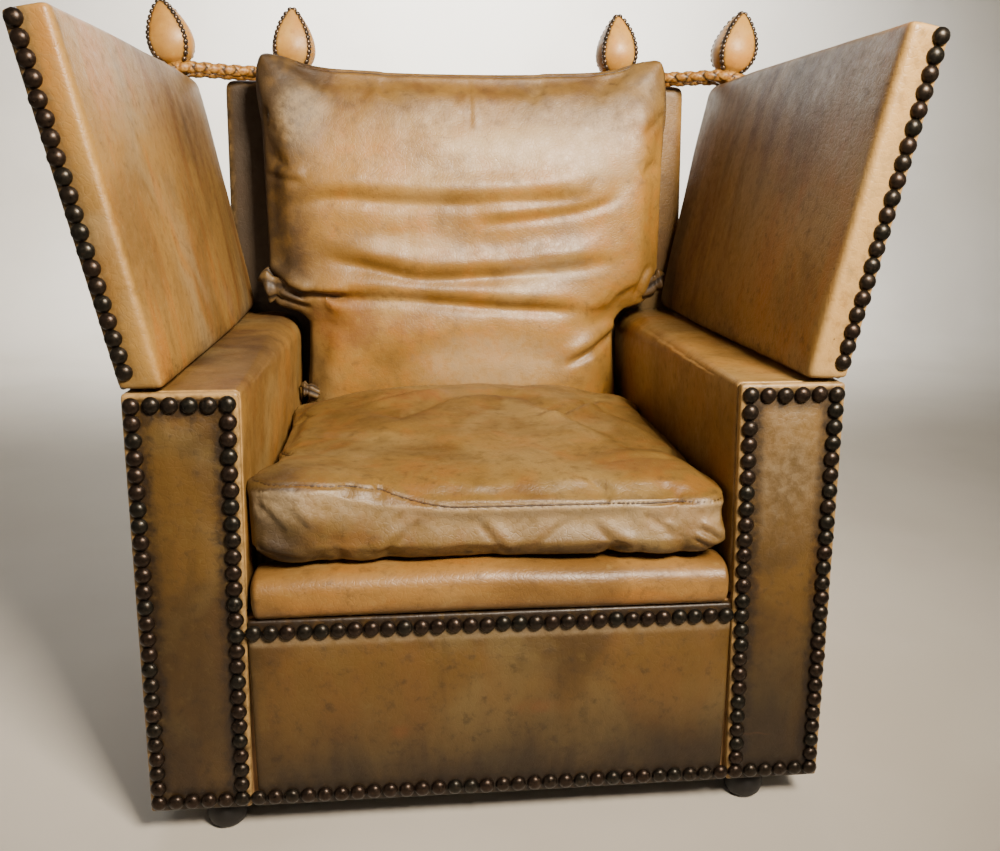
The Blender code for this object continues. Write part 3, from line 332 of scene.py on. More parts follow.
def hide(name, body, deep, amber, haze, stretch=(1, 1, 1), roughness=0.42, wrinkle=0.25):
    """Waxed, antiqued leather: patches, strokes and mottling of several browns, a grey bloom, the
    places that the mesh marks (soil, rubbed wear, stains and waxing, with painted shade, painted
    light and painted sheen among them), specks and scratches, and a pebbled grain."""
    material, tree, shader, place = start_material(name)
    drawn = put(tree, "Mapping", {}, {"Vector": place, "Scale": stretch})
    patches = put(tree, "TexNoise", {}, {
        "Vector": place, "Scale": 1 / PATCH_WIDTH, "Detail": 4.0, "Distortion": 0.8,
    })
    bloom = put(tree, "TexNoise", {"noise_dimensions": "4D"}, {
        "Vector": place, "W": 3.0, "Scale": 1.3 / PATCH_WIDTH, "Detail": 3.0, "Distortion": 0.5,
    })
    strokes = put(tree, "TexNoise", {}, {
        "Vector": drawn, "Scale": 1 / MOTTLE_WIDTH, "Detail": 3.0, "Roughness": 0.5,
        "Distortion": 0.3,
    })
    mottle = put(tree, "TexNoise", {}, {
        "Vector": place, "Scale": 2.6 / MOTTLE_WIDTH, "Detail": 7.0, "Roughness": 0.68,
    })
    specks = put(tree, "TexVoronoi", {}, {"Vector": place, "Scale": 1 / SPECK_SPACING})
    waver = put(tree, "TexNoise", {}, {"Vector": place, "Scale": 2 / SCRATCH_SPACING})
    wavered = put(tree, "VectorMath", {"operation": "MULTIPLY_ADD"}, {
        "Vector": waver.outputs["Color"], "Vector_001": (SCRATCH_SPACING / 3,) * 3,
        "Vector_002": place,
    })
    lines = put(tree, "TexVoronoi", {"feature": "DISTANCE_TO_EDGE"}, {
        "Vector": wavered, "Scale": 1 / SCRATCH_SPACING,
    })
    thin = put(tree, "MapRange", {}, {"Value": lines, "From Min": 0.014, "From Max": 0.003})
    few = put(tree, "MapRange", {}, {"Value": bloom, "From Min": 0.60, "From Max": 0.68})
    scratches = put(tree, "Math", {"operation": "MULTIPLY"}, {"Value": thin, "Value_001": few})
    grime_and_shade, rub_and_light, smoke_and_shade, stain, wax_and_sheen = (
        put(tree, "Attribute", {"attribute_name": mark}, {}).outputs["Fac"]
        for mark in ("grime_and_shade", "rub_and_light", "smoke_and_shade", "stain", "wax_and_sheen")
    )
    ragged = put(tree, "Math", {"operation": "MULTIPLY_ADD"}, {
        "Value": mottle, "Value_001": 3.0, "Value_002": -0.5,
    })
    dirt_and_shade, bare_and_lit, spill, polish_and_sheen = (
        put(tree, "Math", {"operation": "MULTIPLY"}, {"Value": ragged, "Value_001": mark})
        for mark in (grime_and_shade, rub_and_light, stain, wax_and_sheen)
    )
    clouded = put(tree, "Math", {"operation": "MULTIPLY_ADD"}, {
        "Value": strokes, "Value_001": 1.6, "Value_002": 0.2,
    })
    soot_and_shade = put(tree, "Math", {"operation": "MULTIPLY"}, {"Value": clouded, "Value_001": smoke_and_shade})
    colour = layered(tree, linear(body), (
        (strokes, 0.46, 0.66, 0.65, amber),
        (patches, 0.44, 0.66, 0.60, deep),
        (bloom, 0.50, 0.66, 0.60, haze),
        (strokes, 0.44, 0.26, 0.40, deep),
        (mottle, 0.50, 0.72, 0.60, deep),
        (mottle, 0.46, 0.26, 0.40, haze),
        # The marked layers: fumed patina and painted shade darken, waxing and painted sheen pale,
        # soil and painted shade darken, rubbed wear and painted light pale; stains redden
        (soot_and_shade, 0.0, 1.1, 0.92, "#231809"),
        (spill, 0.0, 1.1, 0.50, "#6B3F1C"),
        (polish_and_sheen, 0.0, 1.1, 0.50, "#A08A68"),
        (dirt_and_shade, 0.05, 1.0, 0.90, "#1E140A"),
        (bare_and_lit, 0.10, 1.0, 0.80, "#B08C54"),
        (specks, 0.028, 0.012, 0.7, "#3A2715"),
        (scratches, 0.1, 0.9, 0.40, "#4A3019"),
    ))
    grain = put(tree, "TexVoronoi", {"feature": "SMOOTH_F1"}, {
        "Vector": place, "Scale": 1 / GRAIN_WIDTH,
    })
    scuffed = put(tree, "MapRange", {}, {
        "Value": mottle, "From Min": 0.3, "From Max": 0.7,
        "To Min": roughness - 0.08, "To Max": roughness + 0.10,
    })
    worn = put(tree, "Math", {"operation": "MULTIPLY_ADD"}, {
        "Value": soot_and_shade, "Value_001": 0.16, "Value_002": scuffed,
    })
    creased = put(tree, "VectorMath", {"operation": "MULTIPLY_ADD"}, {
        "Vector": mottle.outputs["Color"], "Vector_001": (CREASE_SPACING,) * 3,
        "Vector_002": place,
    })
    creases = put(tree, "TexVoronoi", {"feature": "DISTANCE_TO_EDGE"}, {
        "Vector": creased, "Scale": 1 / CREASE_SPACING,
    })
    folded = put(tree, "MapRange", {"interpolation_type": "SMOOTHSTEP"}, {
        "Value": creases, "From Min": 0.0, "From Max": 0.16,
    })
    fine = put(tree, "Bump", {}, {"Height": grain, "Strength": 0.12, "Distance": 0.0005})
    crackled = put(tree, "Bump", {}, {
        "Height": folded, "Strength": wrinkle, "Distance": 0.0006, "Normal": fine,
    })
    soft = put(tree, "Bump", {}, {
        "Height": mottle, "Strength": wrinkle, "Distance": 0.0025, "Normal": crackled,
    })
    connect(tree, shader, {
        "Base Color": colour, "Roughness": worn, "Normal": soft, "Coat Weight": 0.08,
        "Coat Roughness": 0.35, "Specular IOR Level": 0.42,
    })
    return material


def profile_at(height):
    """A finial's radius and squareness at a share of its height, on a smooth line."""
    heights, radii, squares = zip(*FINIAL_PROFILE_SHARES)
    blur = 0.045 * smooth_step(0.18, 0.30, height) * smooth_step(1.0, 0.90, height)
    spots = height + blur * np.linspace(-1, 1, 7)
    radius, square = (float(np.interp(spots, heights, row).mean()) for row in (radii, squares))
    return radius, square


def antique_brass(name, brown, green):
    """Brass nails with a brown and green-black patina, polished a little on top by hands."""
    material, tree, shader, place = start_material(name)
    tone = put(tree, "Attribute", {"attribute_name": "tone"}, {}).outputs["Fac"]
    wear = put(tree, "TexNoise", {}, {"Vector": place, "Scale": 260.0, "Detail": 5.0})
    colour = layered(tree, linear(brown), (
        (tone, 0.2, 0.9, 0.85, green),
        (wear, 0.55, 0.72, 0.30, "#5B493A"),
        (wear, 0.45, 0.28, 0.5, "#15110D"),
    ))
    rough = put(tree, "MapRange", {}, {
        "Value": wear, "From Min": 0.3, "From Max": 0.7, "To Min": 0.27, "To Max": 0.42,
    })
    bump = put(tree, "Bump", {}, {"Height": wear, "Strength": 0.15, "Distance": 0.0006})
    connect(tree, shader, {
        "Base Color": colour, "Roughness": rough, "Normal": bump, "Metallic": 0.8,
    })
    return material


def spun(profile, steps, middle=(0, 0)):
    """Spins a profile of radii and heights round an upright axis into a closed surface."""
    bm = bmesh.new()
    verts = [bm.verts.new((middle[0] + r, middle[1], z)) for r, z in profile]
    edges = [bm.edges.new(pair) for pair in zip(verts, verts[1:])]
    bmesh.ops.spin(
        bm, geom=verts + edges, axis=(0, 0, 1), cent=(*middle, 0), steps=steps,
        angle=2 * math.pi, use_merge=True,
    )
    close(bm)
    return bm


def nail_shape(radius, height, sides, rings):
    """One domed nail head on its back, closed underneath, from a profile spun round."""
    rim = height * 0.14
    profile = [(0, 0), (radius * 0.97, 0), (radius, rim)]
    for i in range(1, rings + 1):
        turn = math.pi / 2 * i / rings
        profile.append((radius * math.cos(turn), rim + (height - rim) * math.sin(turn)))
    bm = spun(profile, sides)
    mesh = bpy.data.meshes.new("nail_shape")
    bm.to_mesh(mesh)
    bm.free()
    return mesh


def drive_nails(name, shape, finish, seats, spread=0.0005, tilt=0.04):
    """Sets a nail at each seat, a point and an outward direction, as unevenly as by hand."""
    chance = random.Random(name)
    bm = bmesh.new()
    [tone] = marks(bm, "tone")
    for point, outward in seats:
        before = len(bm.verts)
        bm.from_mesh(shape)
        bm.verts.ensure_lookup_table()
        made = bm.verts[before:]
        lean = Vector([chance.uniform(-tilt, tilt) for _ in range(3)])
        shift = Vector([chance.uniform(-spread, spread) for _ in range(3)])
        turn = Vector((0, 0, 1)).rotation_difference(Vector(outward) + lean).to_matrix().to_4x4()
        shade = chance.random()
        for v in made:
            v[tone] = shade
        place = Matrix.Translation(Vector(point) + shift) @ turn
        bmesh.ops.transform(bm, matrix=place, verts=made)
    return new_piece(name, bm, finish)


# Pale calf: clean, smooth and much lighter than the rest, so the finials stand out
FINIAL_CALF = hide(
    "pale_calf", "#B4863D", "#8E6228", "#B97C2C", "#BF9E64", roughness=0.46, wrinkle=0.10,
)
# Small nails: worn brass, lighter than the large nails and dotted with highlights
FINIAL_BRASS = antique_brass("small_nail_brass", "#6A5848", "#4A443E")
SMALL_NAIL = nail_shape(FINIAL_NAIL_RADIUS, FINIAL_NAIL_HEIGHT, 8, 3)
finials = {}
for side, sign in SIDES.items():
    finials[f"back_finial_{side}"] = (
        "chair", Vector((sign * BACK_FINIAL.x, BACK_FINIAL.y, BACK_FINIAL.z)), Vector((0, 0, 1)),
    )
    finials[f"wing_finial_{side}"] = (
        f"wing_{side}",
        wing_point(sign, WING_OUTER + WING_THICKNESS / 2, WING_HEIGHT + FIT, WING_FINIAL_Y),
        Vector((sign * math.sin(WING_LEAN), 0, math.cos(WING_LEAN))),
    )
for name, (body, foot, axis) in finials.items():
    turn = Vector((0, 0, 1)).rotation_difference(axis).to_matrix()

    def gore(u, height, turn=turn, foot=foot):
        """A point of the cover: u runs once round, and each quarter is one gore."""
        radius, square = profile_at(height)
        quarter, share = divmod(u * 4, 1)
        across = 2 * share - 1
        corner = FINIAL_RADIUS * radius / math.sqrt(2)
        bulge = FINIAL_RADIUS * radius * square - corner
        flat = Vector((corner + bulge * (1 - across * across), corner * across, 0))
        flat.rotate(Matrix.Rotation(math.pi / 2 * quarter, 3, "Z"))
        flat.z = FINIAL_HEIGHT * height
        return foot + turn @ flat

    bm = bmesh.new()
    [grime_and_shade] = marks(bm, "grime_and_shade")
    made = lay_cells(bm, FINIAL_COLUMNS, FINIAL_ROWS, gore)
    for v in made:
        local = turn.transposed() @ (v.co - foot)
        off = abs(abs(local.x) - abs(local.y))
        seamed = smooth_step(0.15, 0.22, local.z / FINIAL_HEIGHT)
        v[grime_and_shade] = seamed * (1 - smooth_step(SEAM_DIRT_START, SEAM_DIRT_END, off))
    close(bm)
    cover = new_piece(f"{name}_calf", bm, FINIAL_CALF, 1)
    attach(cover, body)
    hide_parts(name)
    seats = []
    for corner in range(4):
        for k in range(FINIAL_NAILS):
            height = between(FINIAL_NAIL_START, FINIAL_NAIL_END, k / (FINIAL_NAILS - 1))
            point = gore(corner / 4, height)
            slope = gore(corner / 4, height + 0.01) - gore(corner / 4, height - 0.01)
            off_axis = point - foot - axis * (point - foot).dot(axis)
            outward = axis.cross(off_axis).cross(slope).normalized()
            if outward.dot(off_axis) < 0:
                outward = -outward
            seats.append((point - outward * FINIAL_NAIL_SINK, outward))
    nails = drive_nails(f"{name}_nails", SMALL_NAIL, FINIAL_BRASS, seats, 0.0003, 0.08)
    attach(nails, body)


# Frame: sawn beech posts and rails, doweled and glued, which the upholstery is tacked to
def wood(name, body, dark, roughness):
    """Plain sawn wood: long pale and dark grain lines a few millimetres apart, and fine pores."""
    material, tree, shader, place = start_material(name)
    drawn = put(tree, "Mapping", {}, {"Vector": place, "Scale": (1, 1, 0.08)})
    lines = put(tree, "TexNoise", {}, {"Vector": drawn, "Scale": 180.0, "Detail": 6.0})
    colour = layered(tree, linear(body), ((lines, 0.42, 0.70, 0.7, dark),))
    bump = put(tree, "Bump", {}, {"Height": lines, "Strength": 0.2, "Distance": 0.0005})
    connect(tree, shader, {"Base Color": colour, "Roughness": roughness, "Normal": bump})
    return material


def woven(name, body, dark, thread):
    """Plain cloth: crossing threads drawn as two square waves, with uneven dyeing."""
    material, tree, shader, place = start_material(name)
    waves = [
        put(tree, "TexWave", {"bands_direction": axis}, {
            "Vector": place, "Scale": 1 / (thread * 20), "Distortion": 0.4,
        })
        for axis in "XY"
    ]
    threads = put(tree, "Math", {"operation": "MAXIMUM"}, {
        "Value": waves[0].outputs["Fac"], "Value_001": waves[1].outputs["Fac"],
    })
    uneven = put(tree, "TexNoise", {}, {"Vector": place, "Scale": 30.0, "Detail": 4.0})
    colour = layered(tree, linear(body), (
        (threads, 0.9, 0.3, 0.6, dark), (uneven, 0.45, 0.7, 0.4, dark),
    ))
    bump = put(tree, "Bump", {}, {"Height": threads, "Strength": 0.4, "Distance": 0.0004})
    connect(tree, shader, {"Base Color": colour, "Roughness": 0.9, "Normal": bump})
    return material


def bare_steel(name, colour, roughness):
    """Drawn or rolled steel with a little tarnish."""
    material, tree, shader, place = start_material(name)
    tarnish = put(tree, "TexNoise", {}, {"Vector": place, "Scale": 90.0, "Detail": 5.0})
    toned = layered(tree, linear(colour), ((tarnish, 0.5, 0.75, 0.6, "#4A4038"),))
    rough = put(tree, "MapRange", {}, {
        "Value": tarnish, "To Min": roughness - 0.1, "To Max": roughness + 0.15,
    })
    connect(tree, shader, {"Base Color": toned, "Roughness": rough, "Metallic": 1.0})
    return material


# Each finish and the starts of the names of the solids that show it: bright raw beech, sandy
# jute, brown ticking, a near black dust cover, grey hinges and dull wire
FRAME_FINISHES = {
    wood("sawn_beech", "#B98F5F", "#8E6539", 0.6): (
        "front_post_", "back_post_", "arm_rail_", "side_rail_", "front_rail", "back_rail",
        "back_top_rail", "wing_board_",
    ),
    woven("jute_webbing", "#9C8660", "#6E5B3C", 0.0030): ("seat_webbing",),
    woven("cotton_ticking", "#6B5A44", "#4C3F30", 0.0012): ("seat_platform",),
    woven("black_cambric", "#1C1B1A", "#0E0E0E", 0.0010): ("dust_cover",),
    bare_steel("hinge_steel", "#8C8C88", 0.35): ("hinge_",),
    bare_steel("spring_wire", "#6F6A62", 0.4): ("spring_",),
}
for finish, starts in FRAME_FINISHES.items():
    for node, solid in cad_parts.items():
        if node.startswith(starts):
            solid.data.materials.clear()
            solid.data.materials.append(finish)


# Feet: low bun feet of beech, turned on a lathe, stained black and doweled into the posts; they are
# drawn near black, which is partly painted shade
FOOT_PROFILE_SHARES = (
    (0.00, 0.00), (0.60, 0.00), (0.72, 0.04), (0.90, 0.15), (1.00, 0.34), (1.00, 0.50),
    (0.92, 0.66), (0.82, 0.76), (0.78, 0.80), (0.82, 0.85), (0.82, 1.00), (0.00, 1.00),
)
FOOT_SIDES, FOOT_SHARP_ANGLE = 48, math.radians(50)
# Ebonised beech: black enough to be lost in the shadow below the chair
FOOT_WOOD = wood("black_beech_and_shade", "#0B0705", "#050302", 0.60)
for node in [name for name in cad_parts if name.startswith("foot_")]:
    low, high = (Vector(corner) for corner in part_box(node))
    middle, radius = (low + high) / 2, (high.x - low.x) / 2
    profile = [(radius * r, between(low.z, high.z, z)) for r, z in FOOT_PROFILE_SHARES]
    bm = spun(profile, FOOT_SIDES, middle.xy)
    foot = new_piece(node.replace("foot", "bun_foot"), bm, FOOT_WOOD)
    foot.data.set_sharp_from_angle(angle=FOOT_SHARP_ANGLE)
    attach(foot, "chair")
    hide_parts(node)


# Large nails: domed brass heads about 20 mm wide, nearly touching, driven through the leather by
# hand round the arm fronts, along the apron's top, along the base and down the wings' fronts
FRONT_Y = -0.4131
BASE_Z, ARM_TOP_Z = 0.045, 0.608
ARM_OUTER_BASE, ARM_OUTER_TOP, ARM_INNER_BASE, ARM_INNER_TOP = 0.454, 0.443, 0.323, 0.307
NAIL_RADIUS, NAIL_HEIGHT, NAIL_INSET = 0.0105, 0.0088, 0.0125
COLUMN_NAILS, PANEL_NAILS, ROW_NAILS, WING_NAILS = 26, 6, 30, 20
COLUMN_FOOT_Z, COLUMN_TOP_Z, APRON_ROW_Z = BASE_Z + 0.015, ARM_TOP_Z - 0.014, 0.297
WING_NAIL_START, WING_NAIL_END = 0.021, 0.408


def arm_outer(z):
    """How far out an arm's outer face is at a height."""
    return between(ARM_OUTER_BASE, ARM_OUTER_TOP, (z - BASE_Z) / (ARM_TOP_Z - BASE_Z))


def arm_inner(z):
    """How far out an arm's inner face is at a height."""
    return between(ARM_INNER_BASE, ARM_INNER_TOP, (z - BASE_Z) / (ARM_TOP_Z - BASE_Z))


def column_x(z, share):
    """A place at a share of the way from an arm's inner column of nails to its outer one."""
    return between(arm_inner(z) + NAIL_INSET, arm_outer(z) - NAIL_INSET, share)


def cross_row(z):
    """Nail centres in a straight row between the arms' inner columns."""
    gap = (column_x(z, 1) - column_x(z, 0)) / (PANEL_NAILS - 1)
    half = column_x(z, 0) - gap / 2
    return [Vector((half * ((2 * i + 1) / ROW_NAILS - 1), FRONT_Y, z)) for i in range(ROW_NAILS)]


nail_places = {"apron_studs": cross_row(APRON_ROW_Z), "base_studs": cross_row(COLUMN_FOOT_Z)}
for side, sign in SIDES.items():
    ring = []
    for row in range(COLUMN_NAILS):
        z = between(COLUMN_FOOT_Z, COLUMN_TOP_Z, row / (COLUMN_NAILS - 1))
        full = row in (0, COLUMN_NAILS - 1)
        for column in range(PANEL_NAILS) if full else (0, PANEL_NAILS - 1):
            ring.append(Vector((sign * column_x(z, column / (PANEL_NAILS - 1)), FRONT_Y, z)))
    nail_places[f"arm_studs_{side}"] = ring
    nail_places[f"wing_studs_{side}"] = [
        wing_point(
            sign, WING_OUTER + NAIL_INSET, up, WING_FRONT_Y - WING_RAKE * up / WING_HEIGHT,
        )
        for up in np.linspace(WING_NAIL_START, WING_NAIL_END, WING_NAILS)
    ]
# Large nails: brown-black brass, whose domes catch one small highlight each
NAIL_BRASS = antique_brass("antique_nail_brass", "#342921", "#292822")
LARGE_NAIL = nail_shape(NAIL_RADIUS, NAIL_HEIGHT, 14, 4)
for group, places in nail_places.items():
    seats = [(point - Vector((0, FIT, 0)), (0, -1, 0)) for point in places]
    nails = drive_nails(group.replace("studs", "nails"), LARGE_NAIL, NAIL_BRASS, seats)
    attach(nails, group.replace("_studs", "") if group.startswith("wing") else "chair")
    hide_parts(group)


# Arm fronts: a thin board in each arm's shape, padded and covered with leather that is drawn
# tight under the ring of nails, so it swells inside the ring and puckers at its edge
FACING_THICKNESS, FACING_EDGE, FACING_PUFF, FACING_REACH = 0.014, 0.0035, 0.0045, 0.045
FACING_CELL, PANEL_EDGE = 0.005, 0.003
DIRT_REACH = 0.020
# Panel cowhide: the darkest leather, olive brown, with long upright strokes
PANEL_HIDE = hide(
    "panel_cowhide", "#5A4119", "#2E200C", "#60421A", "#655430", stretch=(1, 1, 0.22),
)


def block_of_cells(size, cell):
    """A cube round the origin, cut into cells of about this size, from -1 to 1 each way."""
    bm = bmesh.new()
    bmesh.ops.create_cube(bm, size=2)
    for axis in range(3):
        along = [
            e for e in bm.edges
            if abs(e.verts[0].co[axis] - e.verts[1].co[axis]) > 0.5
        ]
        cuts = max(round(size[axis] / cell) - 1, 1)
        bmesh.ops.subdivide_edges(bm, edges=along, cuts=cuts, use_grid_fill=True)
    return bm


def soften(unit, size, radius):
    """The point of a box with rounded edges that stands for a point of the cube from -1 to 1."""
    point = Vector([c * s / 2 for c, s in zip(unit, size)])
    core = Vector([min(max(p, -s / 2 + radius), s / 2 - radius) for p, s in zip(point, size)])
    out = point - core
    if out.length < 1e-9:
        return point
    return core + out.normalized() * min(radius, out.length * 10)


def near(points):
    """A finder of the nearest of some points."""
    tree = kdtree.KDTree(len(points))
    for i, point in enumerate(points):
        tree.insert(point, i)
    tree.balance()
    return tree


all_nails = near([p for places in nail_places.values() for p in places])


def puff(point, height, reach):
    """How far padded leather stands out at a place: nothing under a nail, more away from it."""
    gap = all_nails.find((point.x, FRONT_Y, point.z))[2]
    return height * smooth_step(NAIL_RADIUS * 0.6, reach, gap)


def nail_dirt(point):
    """Dark waxy residue and soil gather round the nails."""
    gap = all_nails.find((point.x, FRONT_Y, point.z))[2]
    return 1 - smooth_step(NAIL_RADIUS, NAIL_RADIUS + DIRT_REACH, gap)


for side, sign in SIDES.items():
    height = ARM_TOP_Z - BASE_Z
    width = ARM_OUTER_TOP - ARM_INNER_TOP
    size = Vector((width, FACING_THICKNESS, height))
    bm = block_of_cells(size, FACING_CELL)
    grime_and_shade, rub_and_light, smoke_and_shade, wax_and_sheen = marks(bm, "grime_and_shade", "rub_and_light", "smoke_and_shade", "wax_and_sheen")
    for v in bm.verts:
        flat = soften(v.co, size, FACING_EDGE)
        z = BASE_Z + height / 2 + flat.z
        share = flat.x / width + 0.5
        x = between(arm_inner(z), arm_outer(z), share)
        place = Vector((sign * x, FRONT_Y + FACING_THICKNESS / 2 + flat.y, z))
        if flat.y < 0:
            place.y -= puff(place, FACING_PUFF, FACING_REACH)
            place.y -= 0.0008 * noise.noise(place * 40)
            v[grime_and_shade] = 0.8 * nail_dirt(place)
            # Darker towards the floor, the right panel most: partly soil, partly painted shade. The
            # right panel's top is paler: waxing with painted light
            low_dirt_and_shade = smooth_step(0.44, 0.05, z)
            v[smoke_and_shade] = 0.15 + 0.50 * low_dirt_and_shade if sign < 0 else 1.20 * low_dirt_and_shade
            v[wax_and_sheen] = 0 if sign < 0 else 0.50 * smooth_step(0.30, 0.50, z)
        rim = min(share * width, (1 - share) * width, ARM_TOP_Z - z)
        v[rub_and_light] = 0.75 * (1 - smooth_step(0.003, 0.009, rim))
        v.co = place
    bmesh.ops.recalc_face_normals(bm, faces=bm.faces)
    facing = new_piece(f"arm_front_{side}", bm, PANEL_HIDE, 1)
    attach(facing, "chair")
    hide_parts(f"arm_facing_{side}")


# Arms: horsehair padding on the arm rail, under one piece of cowhide that runs from the base
# outside, over the flat top, round an edge that softens towards the back, and down inside
COVER_FRONT_Y, COVER_REAR_Y = FRONT_Y + FACING_THICKNESS + FIT, BACK_FRONT_Y - FIT
INNER_FOOT_Z = 0.320
EDGE_FRONT, EDGE_REAR, OUTER_EDGE = 0.008, 0.045, 0.006
LEATHER_THICKNESS = 0.006
OUTSIDE_SHARE, CORNER_SHARE, TOP_SHARE, ROUND_SHARE = 0.42, 0.47, 0.62, 0.74
ARM_COLUMNS, ARM_ROWS = 110, 90
ARM_SWELL, ARM_RIPPLE_FINE, ARM_RIPPLE_WIDE = 0.004, 0.0012, 0.0022
# Arm cowhide: mid brown with wide clouds; the left arm's top is darkened with painted shade
ARM_HIDE = hide(
    "arm_cowhide", "#8A662F", "#573E18", "#8F5E22", "#8E7546", stretch=(0.5, 0.5, 0.5),
)
for side, sign in SIDES.items():
    bm = bmesh.new()
    grime_and_shade, rub_and_light, smoke_and_shade = marks(bm, "grime_and_shade", "rub_and_light", "smoke_and_shade")

    def arm_point(u, v, sign=sign):
        """u runs up outside, over the top and down inside; v runs back along the arm."""
        radius = between(EDGE_FRONT, EDGE_REAR, v ** 1.3)
        y = between(COVER_FRONT_Y, COVER_REAR_Y, v)
        if u < OUTSIDE_SHARE:
            z = between(BASE_Z, ARM_TOP_Z - OUTER_EDGE, u / OUTSIDE_SHARE)
            x = arm_outer(z)
        elif u < CORNER_SHARE:
            turn = (u - OUTSIDE_SHARE) / (CORNER_SHARE - OUTSIDE_SHARE) * math.pi / 2
            x = arm_outer(ARM_TOP_Z) - OUTER_EDGE * (1 - math.cos(turn))
            z = ARM_TOP_Z - OUTER_EDGE * (1 - math.sin(turn))
        elif u < TOP_SHARE:
            z = ARM_TOP_Z
            far = arm_inner(ARM_TOP_Z - radius) + radius
            across = (u - CORNER_SHARE) / (TOP_SHARE - CORNER_SHARE)
            x = between(arm_outer(ARM_TOP_Z) - OUTER_EDGE, far, across)
        elif u < ROUND_SHARE:
            turn = (u - TOP_SHARE) / (ROUND_SHARE - TOP_SHARE) * math.pi / 2
            z = ARM_TOP_Z - radius * (1 - math.cos(turn))
            x = arm_inner(z) + radius * (1 - math.sin(turn))
        else:
            down = (u - ROUND_SHARE) / (1 - ROUND_SHARE)
            z = between(ARM_TOP_Z - radius, INNER_FOOT_Z, down)
            x = arm_inner(z)
        return Vector((sign * x, y, z))

    made = lay_cells(bm, ARM_COLUMNS, ARM_ROWS, arm_point)
    bmesh.ops.recalc_face_normals(bm, faces=bm.faces)
    bm.normal_update()
    outermost = max(bm.faces, key=lambda f: sign * f.calc_center_median().x)
    if sign * outermost.normal.x < 0:
        bmesh.ops.reverse_faces(bm, faces=bm.faces)
        bm.normal_update()
    for v in made:
        along = (v.co.y - COVER_FRONT_Y) / (COVER_REAR_Y - COVER_FRONT_Y)
        inside = smooth_step(0.40, 0.33, abs(v.co.x)) if v.co.z < ARM_TOP_Z - 0.01 else 0
        swell = ARM_SWELL * math.sin(math.pi * min(max(along, 0), 1)) ** 0.5
        ripple = ARM_RIPPLE_FINE * noise.noise(v.co * 22)
        ripple += ARM_RIPPLE_WIDE * noise.noise(v.co * 7)
        held = smooth_step(0, 0.02, v.co.y - COVER_FRONT_Y)
        v.co += v.normal * held * (ripple + swell * (0.4 + 0.6 * inside))
        band = 0.006 if v.co.z > ARM_TOP_Z - 0.003 else 0.018
        v[rub_and_light] = 0.65 * (1 - smooth_step(0.0, band, v.co.y - COVER_FRONT_Y))
        # The inner face darkens towards its foot, between arm and cushion: painted shade
        v[grime_and_shade] = 0.8 * (1 - smooth_step(0.0, 0.12, v.co.z - INNER_FOOT_Z)) * inside
        # The left arm's top is painted darker, less so near the front: painted shade
        on_top = smooth_step(ARM_TOP_Z - 0.03, ARM_TOP_Z, v.co.z)
        shaded = 0.62 if sign < 0 else 0.05
        v[smoke_and_shade] = on_top * max(shaded - 0.15 * smooth_step(0.25, 0, along), 0)
    arm = new_piece(f"arm_{side}", bm, ARM_HIDE, 1)
    wall = arm.modifiers.new("leather", "SOLIDIFY")
    wall.thickness = LEATHER_THICKNESS
    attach(arm, "chair")
    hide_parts(f"arm_cover_{side}")


# Back: the padded inside back with a rounded top and sides, and a flat panel closing it behind,
# which is blind-tacked along its top and slip-stitched down its sides
BACK_HALF_BASE, BACK_HALF_TOP = 0.450, 0.427
OUTSIDE_BACK_Y, REAR_Y = 0.4269, 0.4349
BACK_EDGE, BACK_CELL, BACK_RIPPLE, OPEN_EDGE = 0.014, 0.011, 0.0012, 0.0006
depth = OUTSIDE_BACK_Y - FIT - BACK_FRONT_Y
size = Vector((2 * BACK_HALF_TOP, depth, BACK_TOP_Z - BASE_Z))
bm = block_of_cells(size, BACK_CELL)
rub_and_light, smoke_and_shade = marks(bm, "rub_and_light", "smoke_and_shade")
for v in bm.verts:
    flat = soften(v.co, size, BACK_EDGE)
    if v.co.y > 0 or v.co.z < -0.99:
        rear = max(flat.y, 0)
        flat.y = between(flat.y, v.co.y * depth / 2, smooth_step(0, depth / 2, rear))
    z = BASE_Z + size.z / 2 + flat.z
    half = between(BACK_HALF_BASE, BACK_HALF_TOP, flat.z / size.z + 0.5)
    x = flat.x / BACK_HALF_TOP * half
    y = BACK_FRONT_Y + depth / 2 + flat.y
    v.co = (x, y, z)
    v.co.y += BACK_RIPPLE * noise.noise(v.co * 12)
    edge, behind = min(half - abs(x), BACK_TOP_Z - z), y - BACK_FRONT_Y
    v[rub_and_light] = 0.4 * (1 - smooth_step(0.004, 0.02, edge)) * (1 - smooth_step(0.02, 0.06, behind))
    # Its front face, seen beside the cushion, is painted dark, the left side most: painted shadow of
    # the cushion
    v[smoke_and_shade] = (1.3 if x < 0 else 0.5) * smooth_step(0.02, 0.0, behind)
loose = [
    f for f in bm.faces
    if f.calc_center_median().y > OUTSIDE_BACK_Y - OPEN_EDGE
    or f.calc_center_median().z < BASE_Z + OPEN_EDGE
]
bmesh.ops.delete(bm, geom=loose, context="FACES")
bmesh.ops.recalc_face_normals(bm, faces=bm.faces)
inside_back = new_piece("inside_back", bm, ARM_HIDE, 1)
wall = inside_back.modifiers.new("leather", "SOLIDIFY")
wall.thickness = LEATHER_THICKNESS
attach(inside_back, "chair")
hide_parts("back_cover")

